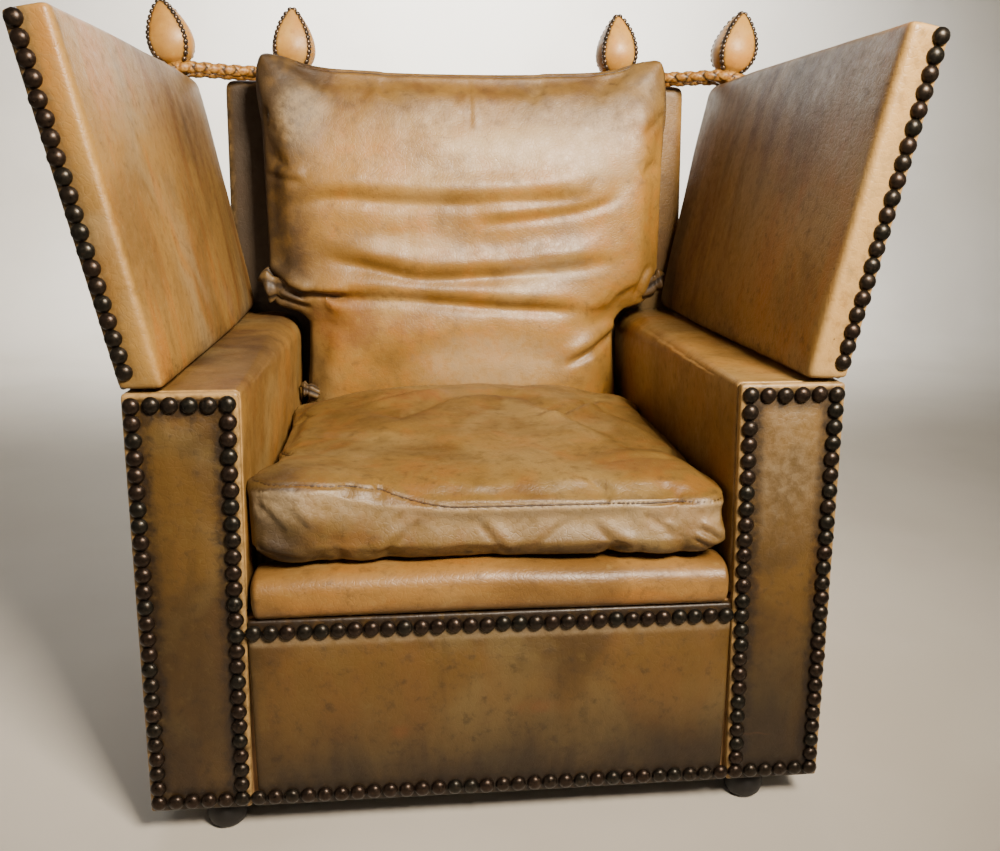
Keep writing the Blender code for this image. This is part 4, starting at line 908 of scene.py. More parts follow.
size = Vector((2 * BACK_HALF_TOP, REAR_Y - OUTSIDE_BACK_Y, BACK_TOP_Z - BASE_Z))
bm = block_of_cells(size, BACK_CELL)
for v in bm.verts:
    flat = soften(v.co, size, PANEL_EDGE)
    half = between(BACK_HALF_BASE, BACK_HALF_TOP, flat.z / size.z + 0.5)
    v.co = Vector((
        flat.x / BACK_HALF_TOP * half, (OUTSIDE_BACK_Y + REAR_Y) / 2 + flat.y,
        BASE_Z + size.z / 2 + flat.z,
    ))
bmesh.ops.recalc_face_normals(bm, faces=bm.faces)
outside_back = new_piece("outside_back_panel", bm, ARM_HIDE, 1)
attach(outside_back, "chair")
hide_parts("outside_back")


# Front: a stuffed roll of leather along the front rail, and below it the flat apron, padded and
# nailed along its top and its foot. The roll's leather is gathered in where it meets the arms
ROLL_BOTTOM_Z, ROLL_TOP_Z, ROLL_DEPTH, ROLL_PROUD = 0.309, 0.374, 0.085, 0.010
ROLL_COLUMNS, ROLL_ROWS, ROLL_SQUARENESS, ROLL_GATHER = 130, 40, 0.75, 0.035
APRON_TOP_Z, APRON_PUFF, APRON_REACH, APRON_CELL = 0.3127, 0.0060, 0.060, 0.0055
roll_half = arm_inner(ROLL_TOP_Z) - FIT
bm = bmesh.new()
[grime_and_shade] = marks(bm, "grime_and_shade")


def roll_point(u, v):
    """u runs along the roll and v round it; the ends close to a point."""
    along = 2 * u - 1
    end = 1 - smooth_step(0.97, 1.0, abs(along)) ** 2
    turn = 2 * math.pi * v
    c, s = math.cos(turn), math.sin(turn)
    sag = 0.0030 * math.cos(3.1 * along + 0.5) + 0.0012 * math.cos(9 * along)
    y = math.copysign(abs(c) ** ROLL_SQUARENESS, c) * ROLL_DEPTH / 2 * max(end, 0)
    half_height = (ROLL_TOP_Z - ROLL_BOTTOM_Z) / 2
    z = math.copysign(abs(s) ** ROLL_SQUARENESS, s) * half_height * max(end, 0)
    reach = min(abs(along), 1)
    return Vector((
        math.copysign(reach, along) * roll_half,
        FRONT_Y - ROLL_PROUD + ROLL_DEPTH / 2 + y,
        (ROLL_BOTTOM_Z + ROLL_TOP_Z) / 2 + z + (sag if s > 0 else 0.3 * sag) * end,
    ))


made = lay_cells(bm, ROLL_COLUMNS, ROLL_ROWS, roll_point)
for v in made:
    pinch = smooth_step(ROLL_GATHER, 0.0, roll_half - abs(v.co.x))
    wrinkle = 0.0016 * noise.noise(Vector((v.co.x * 90, v.co.y * 20, v.co.z * 20)))
    v.co.y += wrinkle * pinch + 0.0010 * noise.noise(v.co * 30)
    # Painted shade: darker where the roll's ends gather in against the arms and along its underside
    v[grime_and_shade] = 0.42 * smooth_step(0.030, 0.0, roll_half - abs(v.co.x))
    v[grime_and_shade] += 0.5 * smooth_step(ROLL_BOTTOM_Z + 0.016, ROLL_BOTTOM_Z, v.co.z)
close(bm)
# Roll cowhide: lighter and yellower than the apron, with strokes that run along the roll
ROLL_HIDE = hide(
    "roll_cowhide", "#876230", "#543A16", "#8A591F", "#937A4C", stretch=(0.25, 1, 1),
)
roll = new_piece("front_roll", bm, ROLL_HIDE, 1)
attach(roll, "chair")
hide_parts("seat_roll")

apron_half = arm_inner(APRON_TOP_Z) - FIT
size = Vector((2 * apron_half, FACING_THICKNESS, APRON_TOP_Z - BASE_Z))
bm = block_of_cells(size, APRON_CELL)
grime_and_shade, stain, smoke_and_shade, wax_and_sheen = marks(bm, "grime_and_shade", "stain", "smoke_and_shade", "wax_and_sheen")
# Two dark scuffs low on the apron: middle x and z, half width and half height
APRON_STAINS = ((0.055, 0.178, 0.050, 0.018), (-0.125, 0.150, 0.022, 0.020))
for v in bm.verts:
    flat = soften(v.co, size, PANEL_EDGE)
    place = Vector((
        flat.x, FRONT_Y + FACING_THICKNESS / 2 + flat.y, BASE_Z + size.z / 2 + flat.z,
    ))
    if flat.y < 0:
        place.y -= puff(place, APRON_PUFF, APRON_REACH)
        place.y -= 0.0014 * noise.noise(place * 16)
        v[grime_and_shade] = 0.7 * nail_dirt(place) * smooth_step(0.06, 0.10, abs(place.z - 0.20))
        # Darker towards the floor: partly soil, partly painted shade
        v[smoke_and_shade] = 0.85 * smooth_step(0.22, 0.05, place.z) + 0.15
        # Painted shadow of the roll: the strip above the top row of nails is dark
        above = place.z - APRON_ROW_Z
        v[grime_and_shade] = max(v[grime_and_shade], 0.9 * smooth_step(0.0, 0.006, above))
        # A pale band just under the top row: waxing with a painted highlight
        under = -NAIL_RADIUS - above
        v[wax_and_sheen] = 0.8 * smooth_step(-0.008, 0.0, under) * smooth_step(0.016, 0.002, under)
        v[stain] = 0.6 * max(
            1 - smooth_step(0.1, 1.0, math.hypot((place.x - x) / w, (place.z - z) / h))
            for x, z, w, h in APRON_STAINS
        )
    v.co = place
bmesh.ops.recalc_face_normals(bm, faces=bm.faces)
apron = new_piece("apron", bm, PANEL_HIDE, 1)
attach(apron, "chair")
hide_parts("apron_panel")


# Wings: drop sides, each a board padded on both faces and sewn into one cover of cowhide. The
# inner face is crowned, its front edge is a firm roll, and the studded front face is flat
WING_SHARP, WING_ROUND, WING_SOFT, WING_CROWN = 0.004, 0.008, 0.022, 0.009
WING_BED_Z, WING_CELL, WING_RIPPLE, WING_PUFF = HINGE_Z + 0.0025, 0.0075, 0.0016, 0.0030
# Wing cowhide: the palest of the large hides, with long upright strokes of the dye brush
WING_HIDE = hide(
    "wing_cowhide", "#8E6B33", "#553C17", "#9A6220", "#8E7A55", stretch=(1, 1, 0.14),
)
wing_length = WING_REAR_Y - WING_FRONT_Y
size = Vector((WING_THICKNESS, wing_length, WING_HEIGHT))
for side, sign in SIDES.items():
    bm = block_of_cells(size, WING_CELL)
    grime_and_shade, rub_and_light, smoke_and_shade = marks(bm, "grime_and_shade", "rub_and_light", "smoke_and_shade")
    for v in bm.verts:
        inner = smooth_step(-0.2, 1, v.co.x)
        rear = smooth_step(0.2, 1, v.co.y)
        radius = between(WING_SHARP, between(WING_ROUND, WING_SOFT, rear), inner)
        flat = soften(v.co, size, radius)
        across = WING_OUTER + WING_THICKNESS / 2 + flat.x
        up = flat.z + WING_HEIGHT / 2
        b, c = v.co.y, v.co.z
        if v.co.x > 0:
            border = (1 - abs(b) ** 6) * (1 - abs(c) ** 4)
            across += WING_CROWN * border * inner
        front = WING_FRONT_Y - WING_RAKE * up / WING_HEIGHT
        y = between(front, WING_REAR_Y, flat.y / wing_length + 0.5)
        foot = (WING_BED_Z - HINGE_Z - across * math.sin(WING_LEAN)) / math.cos(WING_LEAN)
        lifted = between(foot, WING_HEIGHT, up / WING_HEIGHT)
        place = wing_point(sign, across, lifted, y)
        ripple = WING_RIPPLE * noise.noise(place * 9 + Vector((sign, 0, 0)))
        if b > -0.97:
            place += wing_point(sign, ripple, 0, 0) - wing_point(sign, 0, 0, 0)
        if b < -0.98:
            nail = min((place - n).length for n in nail_places[f"wing_studs_{side}"])
            place.y -= WING_PUFF * smooth_step(0.006, 0.030, nail)
            v[grime_and_shade] = 0.7 * (1 - smooth_step(NAIL_RADIUS, NAIL_RADIUS + 0.012, nail))
            # The front face is paler, the right one most: rubbed wear, with painted light on the
            # right
            v[rub_and_light] = 0.35 if sign < 0 else 0.80
        corner = math.hypot(abs(b + 1) * wing_length / 2, abs(v.co.x - 1) * WING_THICKNESS / 2)
        v[rub_and_light] = max(v[rub_and_light], 0.55 * (1 - smooth_step(0.0, 0.012, corner)))
        # Darker along the foot, where the wing sits on the arm: painted shade
        v[grime_and_shade] = max(v[grime_and_shade], 0.48 * (1 - smooth_step(0.0, 0.05, lifted - foot)))
        # The inner face is darker towards the rear and top, and the right wing, turned from the key
        # light, much darker: partly fumed patina, partly painted shade
        if v.co.x > 0:
            darkness, spread = (0.60, 0.0) if sign < 0 else (0.62, 0.40)
            shade = darkness * smooth_step(-0.7, 0.5, b + 0.38 * c + spread)
            v[smoke_and_shade] = shade * (1 - 0.4 * smooth_step(0.7, 1, b))
        v.co = place
    bmesh.ops.recalc_face_normals(bm, faces=bm.faces)
    wing = new_piece(f"wing_{side}", bm, WING_HIDE, 1)
    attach(wing, f"wing_{side}")
    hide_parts(f"wing_cover_{side}")


# Seat cushion: a loose feather cushion, boxed, with a turned seam round its top. Years of use
# have crowned it, dented it behind and puckered the leather below the front seam
CUSHION_BED_Z = 0.384
SEAT_FRONT_Y, SEAT_REAR_Y, SEAT_HALF = -0.4221, 0.1759, 0.311
SEAT_SEAM_RISE, SEAT_CROWN = 0.076, 0.040
COVER_CELL, FILL_PRESSURE, FILL_FRAMES = 0.020, 4, 20
# Seat cowhide: rich brown and finely crackled by sitting
SEAT_HIDE = hide(
    "seat_cowhide", "#6D5224", "#43300F", "#754D1C", "#7D683E", roughness=0.44, wrinkle=0.32,
)


def swell(piece, pressure, cap):
    """Fills a cushion: a cloth simulation under pressure, whose points may move only so far."""
    start = np.empty(len(piece.data.vertices) * 3, np.float32)
    piece.data.vertices.foreach_get("co", start)
    filled = np.empty_like(start)
    cloth = piece.modifiers.new("fill", "CLOTH")
    cloth.settings.use_pressure = True
    cloth.settings.uniform_pressure_force = pressure
    cloth.settings.effector_weights.gravity = 0
    cloth.point_cache.frame_start, cloth.point_cache.frame_end = 1, FILL_FRAMES
    for number in range(1, FILL_FRAMES + 1):
        bpy.context.scene.frame_set(number)
    evaluated = piece.evaluated_get(bpy.context.evaluated_depsgraph_get())
    evaluated.data.vertices.foreach_get("co", filled)
    piece.modifiers.remove(cloth)
    bpy.context.scene.frame_set(1)
    move = (filled - start).reshape(-1, 3)
    length = np.linalg.norm(move, axis=1, keepdims=True)
    move *= np.minimum(1, cap / np.maximum(length, 1e-9))
    piece.data.vertices.foreach_set("co", (start.reshape(-1, 3) + move).ravel())
    piece.data.update()


def applied(piece, kind, settings):
    """Gives a piece the mesh that one modifier makes of it."""
    modifier = piece.modifiers.new(kind.lower(), kind)
    for key, value in settings.items():
        setattr(modifier, key, value)
    mesh = bpy.data.meshes.new_from_object(
        piece.evaluated_get(bpy.context.evaluated_depsgraph_get())
    )
    piece.modifiers.clear()
    piece.data = mesh
    mesh.shade_smooth()


def fit_to(piece, node):
    """Stretches a filled cushion a little, so that it takes up its solid's own space."""
    co = points_of(piece)
    low, high = (np.array(corner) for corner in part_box(node))
    share = (co - co.min(0)) / (co.max(0) - co.min(0))
    set_points(piece, low + share * (high - low))


def filled_cushion(name, bm, finish, node, cell, cap):
    """A sewn cover filled: even cells, swollen under pressure, its solid's size, finer cells."""
    bmesh.ops.recalc_face_normals(bm, faces=bm.faces)
    piece = new_piece(name, bm, finish)
    applied(piece, "REMESH", {"mode": "VOXEL", "voxel_size": cell})
    swell(piece, FILL_PRESSURE, cap)
    fit_to(piece, node)
    applied(piece, "SUBSURF", {"levels": 1, "render_levels": 1})
    return piece


def points_of(piece, what="co"):
    """The places of a piece's points, or their normals, as rows."""
    source = piece.data.vertices if what == "co" else piece.data.vertex_normals
    values = np.empty(len(piece.data.vertices) * 3, np.float32)
    source.foreach_get("co" if what == "co" else "vector", values)
    return values.reshape(-1, 3).astype(float)


def set_points(piece, places):
    """Moves a piece's points to these places."""
    piece.data.vertices.foreach_set("co", places.astype(np.float32).ravel())
    piece.data.update()


def ease(start, end, values):
    """The smooth step of many values at once."""
    share = np.clip((values - start) / (end - start), 0, 1)
    return share * share * (3 - 2 * share)


def mark(piece, name, values):
    """Stores a value at each point of a piece for its material to read."""
    layer = piece.data.attributes.new(name, "FLOAT", "POINT")
    layer.data.foreach_set("value", np.clip(values, 0, 1).astype(np.float32))


def dabs(flat, spots):
    """Soft patches: for each spot its middle, its half width and height, and its strength."""
    total = np.zeros(len(flat))
    for x, y, wide, high, strength in spots:
        reach = np.hypot((flat[:, 0] - x) / wide, (flat[:, 1] - y) / high)
        total = np.maximum(total, strength * ease(1.0, 0.35, reach))
    return total


def skin(piece):
    """A piece's faces, for finding places on them."""
    return BVHTree.FromPolygons(
        [v.co for v in piece.data.vertices], [f.vertices for f in piece.data.polygons]
    )


def sewn_line(piece, outside, toward, width, lip, groove):
    """Lays a seam where rays from outside meet a cushion: lifts its lip, sinks its stitching
    and returns the seam's places and each point's distance from them."""
    tree = skin(piece)
    hits = [tree.ray_cast(a, (b - a).normalized())[0] for a, b in zip(outside, toward)]
    hits = [hit for hit in hits if hit]
    finder = near(hits)
    co, normal = points_of(piece), points_of(piece, "normal")
    gap = np.array([finder.find(p)[2] for p in co])
    height = lip * np.exp(-((gap / width) ** 2)) - groove * np.exp(-((gap / (0.25 * width)) ** 2))
    co += normal * height[:, None]
    set_points(piece, co)
    return hits, gap


def stitching(name, piece, hits, radius):
    """The seam's own slim dark welt, laid on a finished cushion where its seam was sewn."""
    tree = skin(piece)
    line = [tree.find_nearest(hit)[0] for hit in hits]
    for _ in range(2):
        line = [(line[i - 1] + 2 * p + line[(i + 1) % len(line)]) / 4 for i, p in enumerate(line)]
    bm = bmesh.new()

    def place(u, v):
        i = round(u * len(line)) % len(line)
        run = (line[(i + 1) % len(line)] - line[i - 1]).normalized()
        side = run.cross((0, 1, 0) if abs(run.y) < 0.7 else (0, 0, 1)).normalized()
        turn = 2 * math.pi * v
        return line[i] + radius * (side * math.cos(turn) + run.cross(side) * math.sin(turn))

    lay_cells(bm, len(line), WELT_SIDES, place)
    close(bm)
    return new_piece(name, bm, SEAM_HIDE)


def drawn_folds(flat, folds):
    """The height that soft folds give each point of a cushion's face. A fold is a line of places,
    with a ridge along it and a tighter crease on its right-hand side, both fading at its ends."""
    total = np.zeros(len(flat))
    for line, rise, width, crease in folds:
        line = np.array(line)
        for _ in range(2):
            quarter = (line[1:] - line[:-1]) / 4
            cut = np.stack((line[:-1] + quarter, line[1:] - quarter), 1)
            line = np.concatenate((line[:1], cut.reshape(-1, 2), line[-1:]))
        steps = np.linalg.norm(np.diff(line, axis=0), axis=1)
        walked = np.concatenate(([0], np.cumsum(steps)))
        nearest = np.full(len(flat), 9.0)
        side, along = np.zeros(len(flat)), np.zeros(len(flat))
        for i, step in enumerate(steps):
            run = (line[i + 1] - line[i]) / step
            off = flat - line[i]
            share = np.clip(off @ run, 0, step)
            gap = np.linalg.norm(off - share[:, None] * run, axis=1)
            closer = gap < nearest
            nearest = np.where(closer, gap, nearest)
            side = np.where(closer, np.sign(run[0] * off[:, 1] - run[1] * off[:, 0]) * gap, side)
            along = np.where(closer, (walked[i] + share) / walked[-1], along)
        fade = ease(0, 0.22, along) * ease(1, 0.78, along)
        past = np.exp(-((nearest - np.abs(side)) / width) ** 2)
        ridge = rise * np.exp(-((side / width) ** 2))
        groove = crease * np.exp(-(((side + 1.25 * width) / (0.55 * width)) ** 2))
        total += fade * past * (ridge - groove)
    return total


def waves(places, width, height, seed):
    """Gentle unevenness of a given width."""
    shift = Vector((seed, 0.37 * seed, 0.71 * seed))
    return height * np.array([noise.noise(Vector(p) / width + shift) for p in places])


def rounded(first, second, power=10):
    """Draws the corners of a square in, as a cover's corners are."""
    reach = (abs(first) ** power + abs(second) ** power) ** (1 / power)
    return max(abs(first), abs(second)) / reach if reach else 1


def round_square(steps, power):
    """Places round a square with drawn-in corners, from -1 to 1 each way."""
    for i in range(steps):
        turn = 2 * math.pi * i / steps
        first, second = math.cos(turn), math.sin(turn)
        reach = rounded(first, second, power) / max(abs(first), abs(second))
        yield first * reach, second * reach


middle_y, half_y = (SEAT_FRONT_Y + SEAT_REAR_Y) / 2, (SEAT_REAR_Y - SEAT_FRONT_Y) / 2
SEAT_SLACK, SEAT_PEAK, FOOT_HALF, SEAT_SQUARENESS = 0.012, 0.55, 0.299, 14
SEAT_PRESSED_LOW, SEAT_PRESSED_HIGH = 0.2985, 0.3060
WELT_RADIUS, WELT_SIDES = 0.0013, 8
# Seam cowhide: a dark turned edge with thread in it, which draws the seams as thin lines
SEAM_HIDE = hide(
    "seam_cowhide", "#3B270F", "#21150A", "#4A2E10", "#5A4526", roughness=0.5, wrinkle=0.2,
)
bm = block_of_cells((2 * SEAT_HALF, 2 * half_y, SEAT_SEAM_RISE), COVER_CELL)
for v in bm.verts:
    a, b, up = v.co.x, v.co.y, (v.co.z + 1) / 2
    corner = rounded(a, b, SEAT_SQUARENESS)
    back = 1 - ((b - SEAT_PEAK) / (1 - SEAT_PEAK if b > SEAT_PEAK else 1 + SEAT_PEAK)) ** 2
    swollen = (max(1 - a * a, 0) * max(back, 0)) ** 0.6
    v.co = Vector((
        (SEAT_HALF - SEAT_SLACK) * a * corner,
        middle_y + (half_y - SEAT_SLACK) * b * corner,
        CUSHION_BED_Z + up * (SEAT_SEAM_RISE + SEAT_CROWN * swollen),
    ))
seat = filled_cushion("seat_cushion_leather", bm, SEAT_HIDE, "seat_cushion", 0.0065, 0.022)
# The seam runs round the cushion's shoulder and rises at the left front corner, which is fuller
co = points_of(seat)
fuller = dabs(co[:, :2], ((-0.32, -0.42, 0.22, 0.20, 1.0),)) * ease(0.40, 0.45, co[:, 2])
co[:, 2] += 0.026 * fuller
co[:, 0] -= 0.007 * dabs(co[:, :2], ((-0.32, -0.42, 0.12, 0.20, 1.0),))
set_points(seat, co)
# Its foot is squarer than a filled bag's, most so on the right
off = (co - (0, middle_y, 0)) / (SEAT_HALF, half_y, 1)
reach = np.abs(off[:, :2]).max(1)
squarer = 0.65 * ease(0.80, 0.95, reach) * ease(0.440, 0.400, co[:, 2])
squarer *= 0.3 + 0.7 * ease(-0.10, 0.25, co[:, 0])
grown = 1 + np.maximum(1 - reach, 0) / reach * squarer
widest = np.maximum(np.abs(co[:, 0]), FOOT_HALF)
co[:, 0] = np.clip(co[:, 0] * grown, -widest, widest)
co[:, 1] = middle_y + (co[:, 1] - middle_y) * grown
set_points(seat, co)
outside, toward = [], []
SEAM_STEPS, SEAM_RISE, SEAM_RISE_LEFT, LIP_RISE = 420, 0.070, 0.032, 0.009
for a, b in round_square(SEAM_STEPS, SEAT_SQUARENESS):
    x, y = 1.2 * SEAT_HALF * a, middle_y + 1.2 * half_y * b
    leftward = smooth_step(-0.05, -0.30, x) * smooth_step(-0.1, -0.4, y)
    z = CUSHION_BED_Z + SEAM_RISE + SEAM_RISE_LEFT * leftward
    outside.append(Vector((x, y, z)))
    toward.append(Vector((0.85 * SEAT_HALF * a, middle_y + 0.80 * half_y * b, z)))
low = [[Vector((p.x, p.y, CUSHION_BED_Z + LIP_RISE)) for p in line] for line in (outside, toward)]
sewn_line(seat, *low, 0.016, 0.0090, 0.0)
seam, seam_gap = sewn_line(seat, outside, toward, 0.012, 0.0050, 0.0030)
# Ridges and creases on the top, as places in x and y; the crease lies to the right of the line
SEAT_TOP_FOLDS = (
    (((0.200, -0.300), (0.169, -0.231), (0.115, -0.113), (0.060, -0.019), (-0.010, -0.006),
      (-0.070, -0.090), (-0.121, -0.170), (-0.180, -0.069), (-0.235, 0.004)),
     0.0060, 0.030, 0.0070),
    (((0.238, 0.027), (0.190, -0.044), (0.130, -0.107), (0.079, -0.135)), 0.0050, 0.014, 0.0040),
    (((-0.25, -0.12), (-0.19, -0.17), (-0.12, -0.20)), 0.0030, 0.018, 0.0030),
    (((-0.24, -0.22), (-0.17, -0.27), (-0.05, -0.28)), 0.0020, 0.020, 0.0015),
    (((0.26, -0.22), (0.22, -0.10), (0.16, 0.02)), 0.0040, 0.016, 0.0030),
    (((-0.02, 0.06), (-0.12, 0.02), (-0.20, -0.02)), 0.0040, 0.018, 0.0030),
    (((0.12, -0.32), (0.20, -0.28), (0.28, -0.29)), 0.0025, 0.014, 0.0020),
)
# Creases across the front border, as places in x and z
SEAT_FRONT_FOLDS = (
    (((-0.288, 0.475), (-0.268, 0.455), (-0.250, 0.430)), 0.0028, 0.009, 0.0025),
    (((-0.255, 0.470), (-0.235, 0.452), (-0.222, 0.435)), 0.0022, 0.008, 0.0020),
    (((-0.160, 0.400), (-0.130, 0.420), (-0.095, 0.452)), 0.0030, 0.010, 0.0025),
    (((-0.020, 0.455), (0.000, 0.425), (0.030, 0.395)), 0.0030, 0.010, 0.0025),
    (((0.035, 0.405), (0.065, 0.425), (0.095, 0.448)), 0.0025, 0.010, 0.0025),
    (((0.130, 0.442), (0.150, 0.420), (0.185, 0.400)), 0.0030, 0.010, 0.0025),
    (((0.262, 0.430), (0.282, 0.420), (0.300, 0.408)), 0.0040, 0.007, 0.0040),
    (((0.255, 0.415), (0.280, 0.402), (0.300, 0.398)), 0.0030, 0.006, 0.0030),
    (((-0.300, 0.425), (-0.270, 0.408), (-0.235, 0.400)), 0.0030, 0.009, 0.0030),
)
co, normal = points_of(seat), points_of(seat, "normal")
top = ease(0.25, 0.75, normal[:, 2])
front = ease(0.35, 0.8, -normal[:, 1])
clear = ease(0.008, 0.030, seam_gap)
lift = drawn_folds(co[:, :2], SEAT_TOP_FOLDS) * top * (0.2 + 0.8 * clear)
lift += top * waves(co, 0.090, 0.0050, 1.0) + clear * waves(co, 0.030, 0.0010, 2.0)
lift += front * clear * drawn_folds(co[:, [0, 2]], SEAT_FRONT_FOLDS)
lift += front * clear * waves(co, 0.045, 0.0035, 4.0)
lift += front * clear * waves(co, 0.014, 0.00048, 3.0)
co += normal * lift[:, None]
co[:, 2] += 0.009 * dabs(co[:, :2], ((0.0, 0.09, 0.30, 0.16, 1.0),)) * ease(0.47, 0.49, co[:, 2])
# Its right side is pressed flat against the arm
pressed = between(SEAT_PRESSED_LOW, SEAT_PRESSED_HIGH, ease(0.445, 0.480, co[:, 2]))
co[:, 0] = np.minimum(co[:, 0], pressed)
set_points(seat, co)
# Where the top is waxed, with painted sheen, darkened, and stained: middle x and y, half width, half
# depth and strength
SEAT_WAX_AND_SHEEN = ((-0.02, 0.05, 0.09, 0.05, 0.30), (-0.05, -0.20, 0.10, 0.06, 0.09))
SEAT_SMOKE = (
    (-0.13, -0.12, 0.10, 0.06, 0.4), (0.05, -0.01, 0.12, 0.035, 0.4), (-0.28, -0.40, 0.06, 0.06, 0.5),
)
SEAT_STAINS = ((0.20, -0.33, 0.10, 0.05, 0.6), (-0.10, 0.03, 0.09, 0.05, 0.8))
# Painted sheen over waxing just below the front seam
border_wax_and_sheen = 0.9 * front * ease(0.070, 0.010, seam_gap) * ease(0.6, 0.2, top)
mark(seat, "wax_and_sheen", border_wax_and_sheen + dabs(co[:, :2], SEAT_WAX_AND_SHEEN))
mark(seat, "smoke_and_shade", 0.30 * front + dabs(co[:, :2], SEAT_SMOKE))
# The front border darkens towards its foot
darker_foot = 0.5 * front * ease(0.405, 0.388, co[:, 2])
mark(seat, "grime_and_shade", 0.7 * ease(0.0022, 0.0008, seam_gap) + darker_foot)
mark(seat, "stain", dabs(co[:, :2], SEAT_STAINS))
welt = stitching("seat_seam", seat, seam, WELT_RADIUS)
for piece in (seat, welt):
    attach(piece, "seat_cushion")
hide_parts("seat_cushion")


# Back cushion: a large loose feather cushion that stands on the platform between the arms and
# swells over them. Its face has soft cross folds where it is leaned on
BACK_CUSHION_TOP_Z, BACK_CUSHION_REAR_Y, BACK_CUSHION_THICKNESS = 1.062, 0.3234, 0.128
CUSHION_HALF_LOW, CUSHION_HALF_HIGH, SHOULDER_RISE = 0.298, 0.362, 0.045
BACK_SLACK, PILLOW_SQUARENESS, SEAM_BACK = 0.012, 16, 0.080
PILLOW_SLUMP, PILLOW_PLUMP = 0.034, 0.015
# Pillow cowhide, with a fine crackle; where backs have polished it, its paler places are waxing with
# painted sheen
PILLOW_HIDE = hide(
    "pillow_cowhide", "#836029", "#5A4018", "#8C5E22", "#8D7244", roughness=0.46, wrinkle=0.24,
)


def cushion_half(z):
    """The cushion's half width: narrow between the arms and wide above them."""
    share = smooth_step(ARM_TOP_Z, ARM_TOP_Z + SHOULDER_RISE, z)
    return between(CUSHION_HALF_LOW, CUSHION_HALF_HIGH, share)


height = BACK_CUSHION_TOP_Z - CUSHION_BED_Z
bm = block_of_cells((2 * CUSHION_HALF_HIGH, BACK_CUSHION_THICKNESS, height), COVER_CELL)
for v in bm.verts:
    a, c, depth = v.co.x, v.co.z, (1 - v.co.y) / 2
    z = CUSHION_BED_Z + height * (c + 1) / 2
    corner = rounded(a, c, PILLOW_SQUARENESS)
    swollen = (max(1 - a * a, 0) * max(1 - c * c, 0)) ** 0.5
    y = BACK_CUSHION_REAR_Y - BACK_CUSHION_THICKNESS * depth
    y += depth * (BACK_CUSHION_THICKNESS * 0.20 * (1 - swollen) - 0.012 * swollen)
    y -= (1 - depth) * BACK_CUSHION_THICKNESS * 0.27 * (1 - swollen) ** 2
    x = a * corner * (cushion_half(z) - BACK_SLACK)
    v.co = Vector((x, y, z - 0.014 * max(c, 0) ** 4 * (1 - a * a)))
pillow = filled_cushion("back_cushion_leather", bm, PILLOW_HIDE, "back_cushion", 0.0070, 0.026)
# Its top has slumped backwards
co = points_of(pillow)
depth = np.clip((BACK_CUSHION_REAR_Y - co[:, 1]) / BACK_CUSHION_THICKNESS, 0, 1)
held = 1 - 0.8 * ease(0.22, 0.36, np.abs(co[:, 0]))
co[:, 1] += PILLOW_SLUMP * ease(0.86, 1.06, co[:, 2]) * depth * held
# Its right side is plumper than its left
plump = ease(0.10, 0.36, co[:, 0]) * ease(0.62, 0.70, co[:, 2])
co[:, 0] += PILLOW_PLUMP * plump * (1 - 0.4 * ease(0.95, 1.03, co[:, 2]))
set_points(pillow, co)
outside, toward = [], []
middle_z = (CUSHION_BED_Z + BACK_CUSHION_TOP_Z) / 2
y = BACK_CUSHION_REAR_Y - SEAM_BACK
for a, c in round_square(2 * SEAM_STEPS, PILLOW_SQUARENESS):
    z = middle_z + height / 2 * c
    outside.append(Vector((1.2 * cushion_half(z) * a, y, middle_z + 1.15 * height / 2 * c)))
    toward.append(Vector((0.85 * cushion_half(z) * a, y, middle_z + 0.90 * height / 2 * c)))
pillow_seam, pillow_gap = sewn_line(pillow, outside, toward, 0.010, 0.0040, 0.0035)
# Ridges and creases on the face, as places in x and z, left to right
BACK_FOLDS = (
    (((-0.345, 0.845), (-0.300, 0.835), (-0.233, 0.854), (-0.114, 0.841), (0.061, 0.843),
      (0.203, 0.851), (0.284, 0.873)), 0.0085, 0.022, 0.0055),
    (((0.008, 0.800), (0.133, 0.812), (0.240, 0.830), (0.279, 0.860)), 0.0050, 0.018, 0.0040),
    (((-0.277, 0.755), (-0.139, 0.724), (-0.081, 0.708), (0.026, 0.713), (0.170, 0.725),
      (0.298, 0.743)), 0.0100, 0.022, 0.0065),
    (((-0.330, 0.690), (-0.249, 0.674), (-0.117, 0.673), (0.026, 0.658), (0.172, 0.650),
      (0.259, 0.644)), 0.0085, 0.020, 0.0070),
    (((0.165, 0.535), (0.220, 0.561), (0.270, 0.590), (0.352, 0.640)), 0.0080, 0.016, 0.0090),
    (((-0.20, 0.560), (-0.05, 0.600), (0.12, 0.590), (0.24, 0.560)), 0.0060, 0.034, 0.0010),
    (((-0.355, 0.715), (-0.325, 0.690), (-0.270, 0.660)), 0.0060, 0.012, 0.0080),
    (((-0.340, 0.665), (-0.310, 0.652), (-0.270, 0.640)), 0.0050, 0.010, 0.0060),
    (((-0.350, 0.880), (-0.310, 0.868), (-0.270, 0.862)), 0.0030, 0.012, 0.0030),
    (((-0.335, 0.680), (-0.295, 0.668), (-0.250, 0.664), (-0.200, 0.664)), 0.0050, 0.010, 0.0100),
    (((0.018, 1.045), (0.020, 0.990), (0.019, 0.930)), 0.0010, 0.007, 0.0012),
    (((0.355, 0.700), (0.335, 0.670), (0.330, 0.640)), 0.0040, 0.010, 0.0050),
)
co, normal = points_of(pillow), points_of(pillow, "normal")
face = ease(0.2, 0.7, -normal[:, 1])
flat = co[:, [0, 2]]
clear = ease(0.006, 0.030, pillow_gap)
lift = drawn_folds(flat, BACK_FOLDS) * face * (0.35 + 0.65 * clear)
creased = ease(-0.0025, -0.0075, lift)
lift += face * clear * waves(co * np.array([0.5, 1, 1]), 0.070, 0.0050, 5.0)
lift += clear * waves(co, 0.028, 0.0009, 6.0)
co += normal * lift[:, None]
set_points(pillow, co)
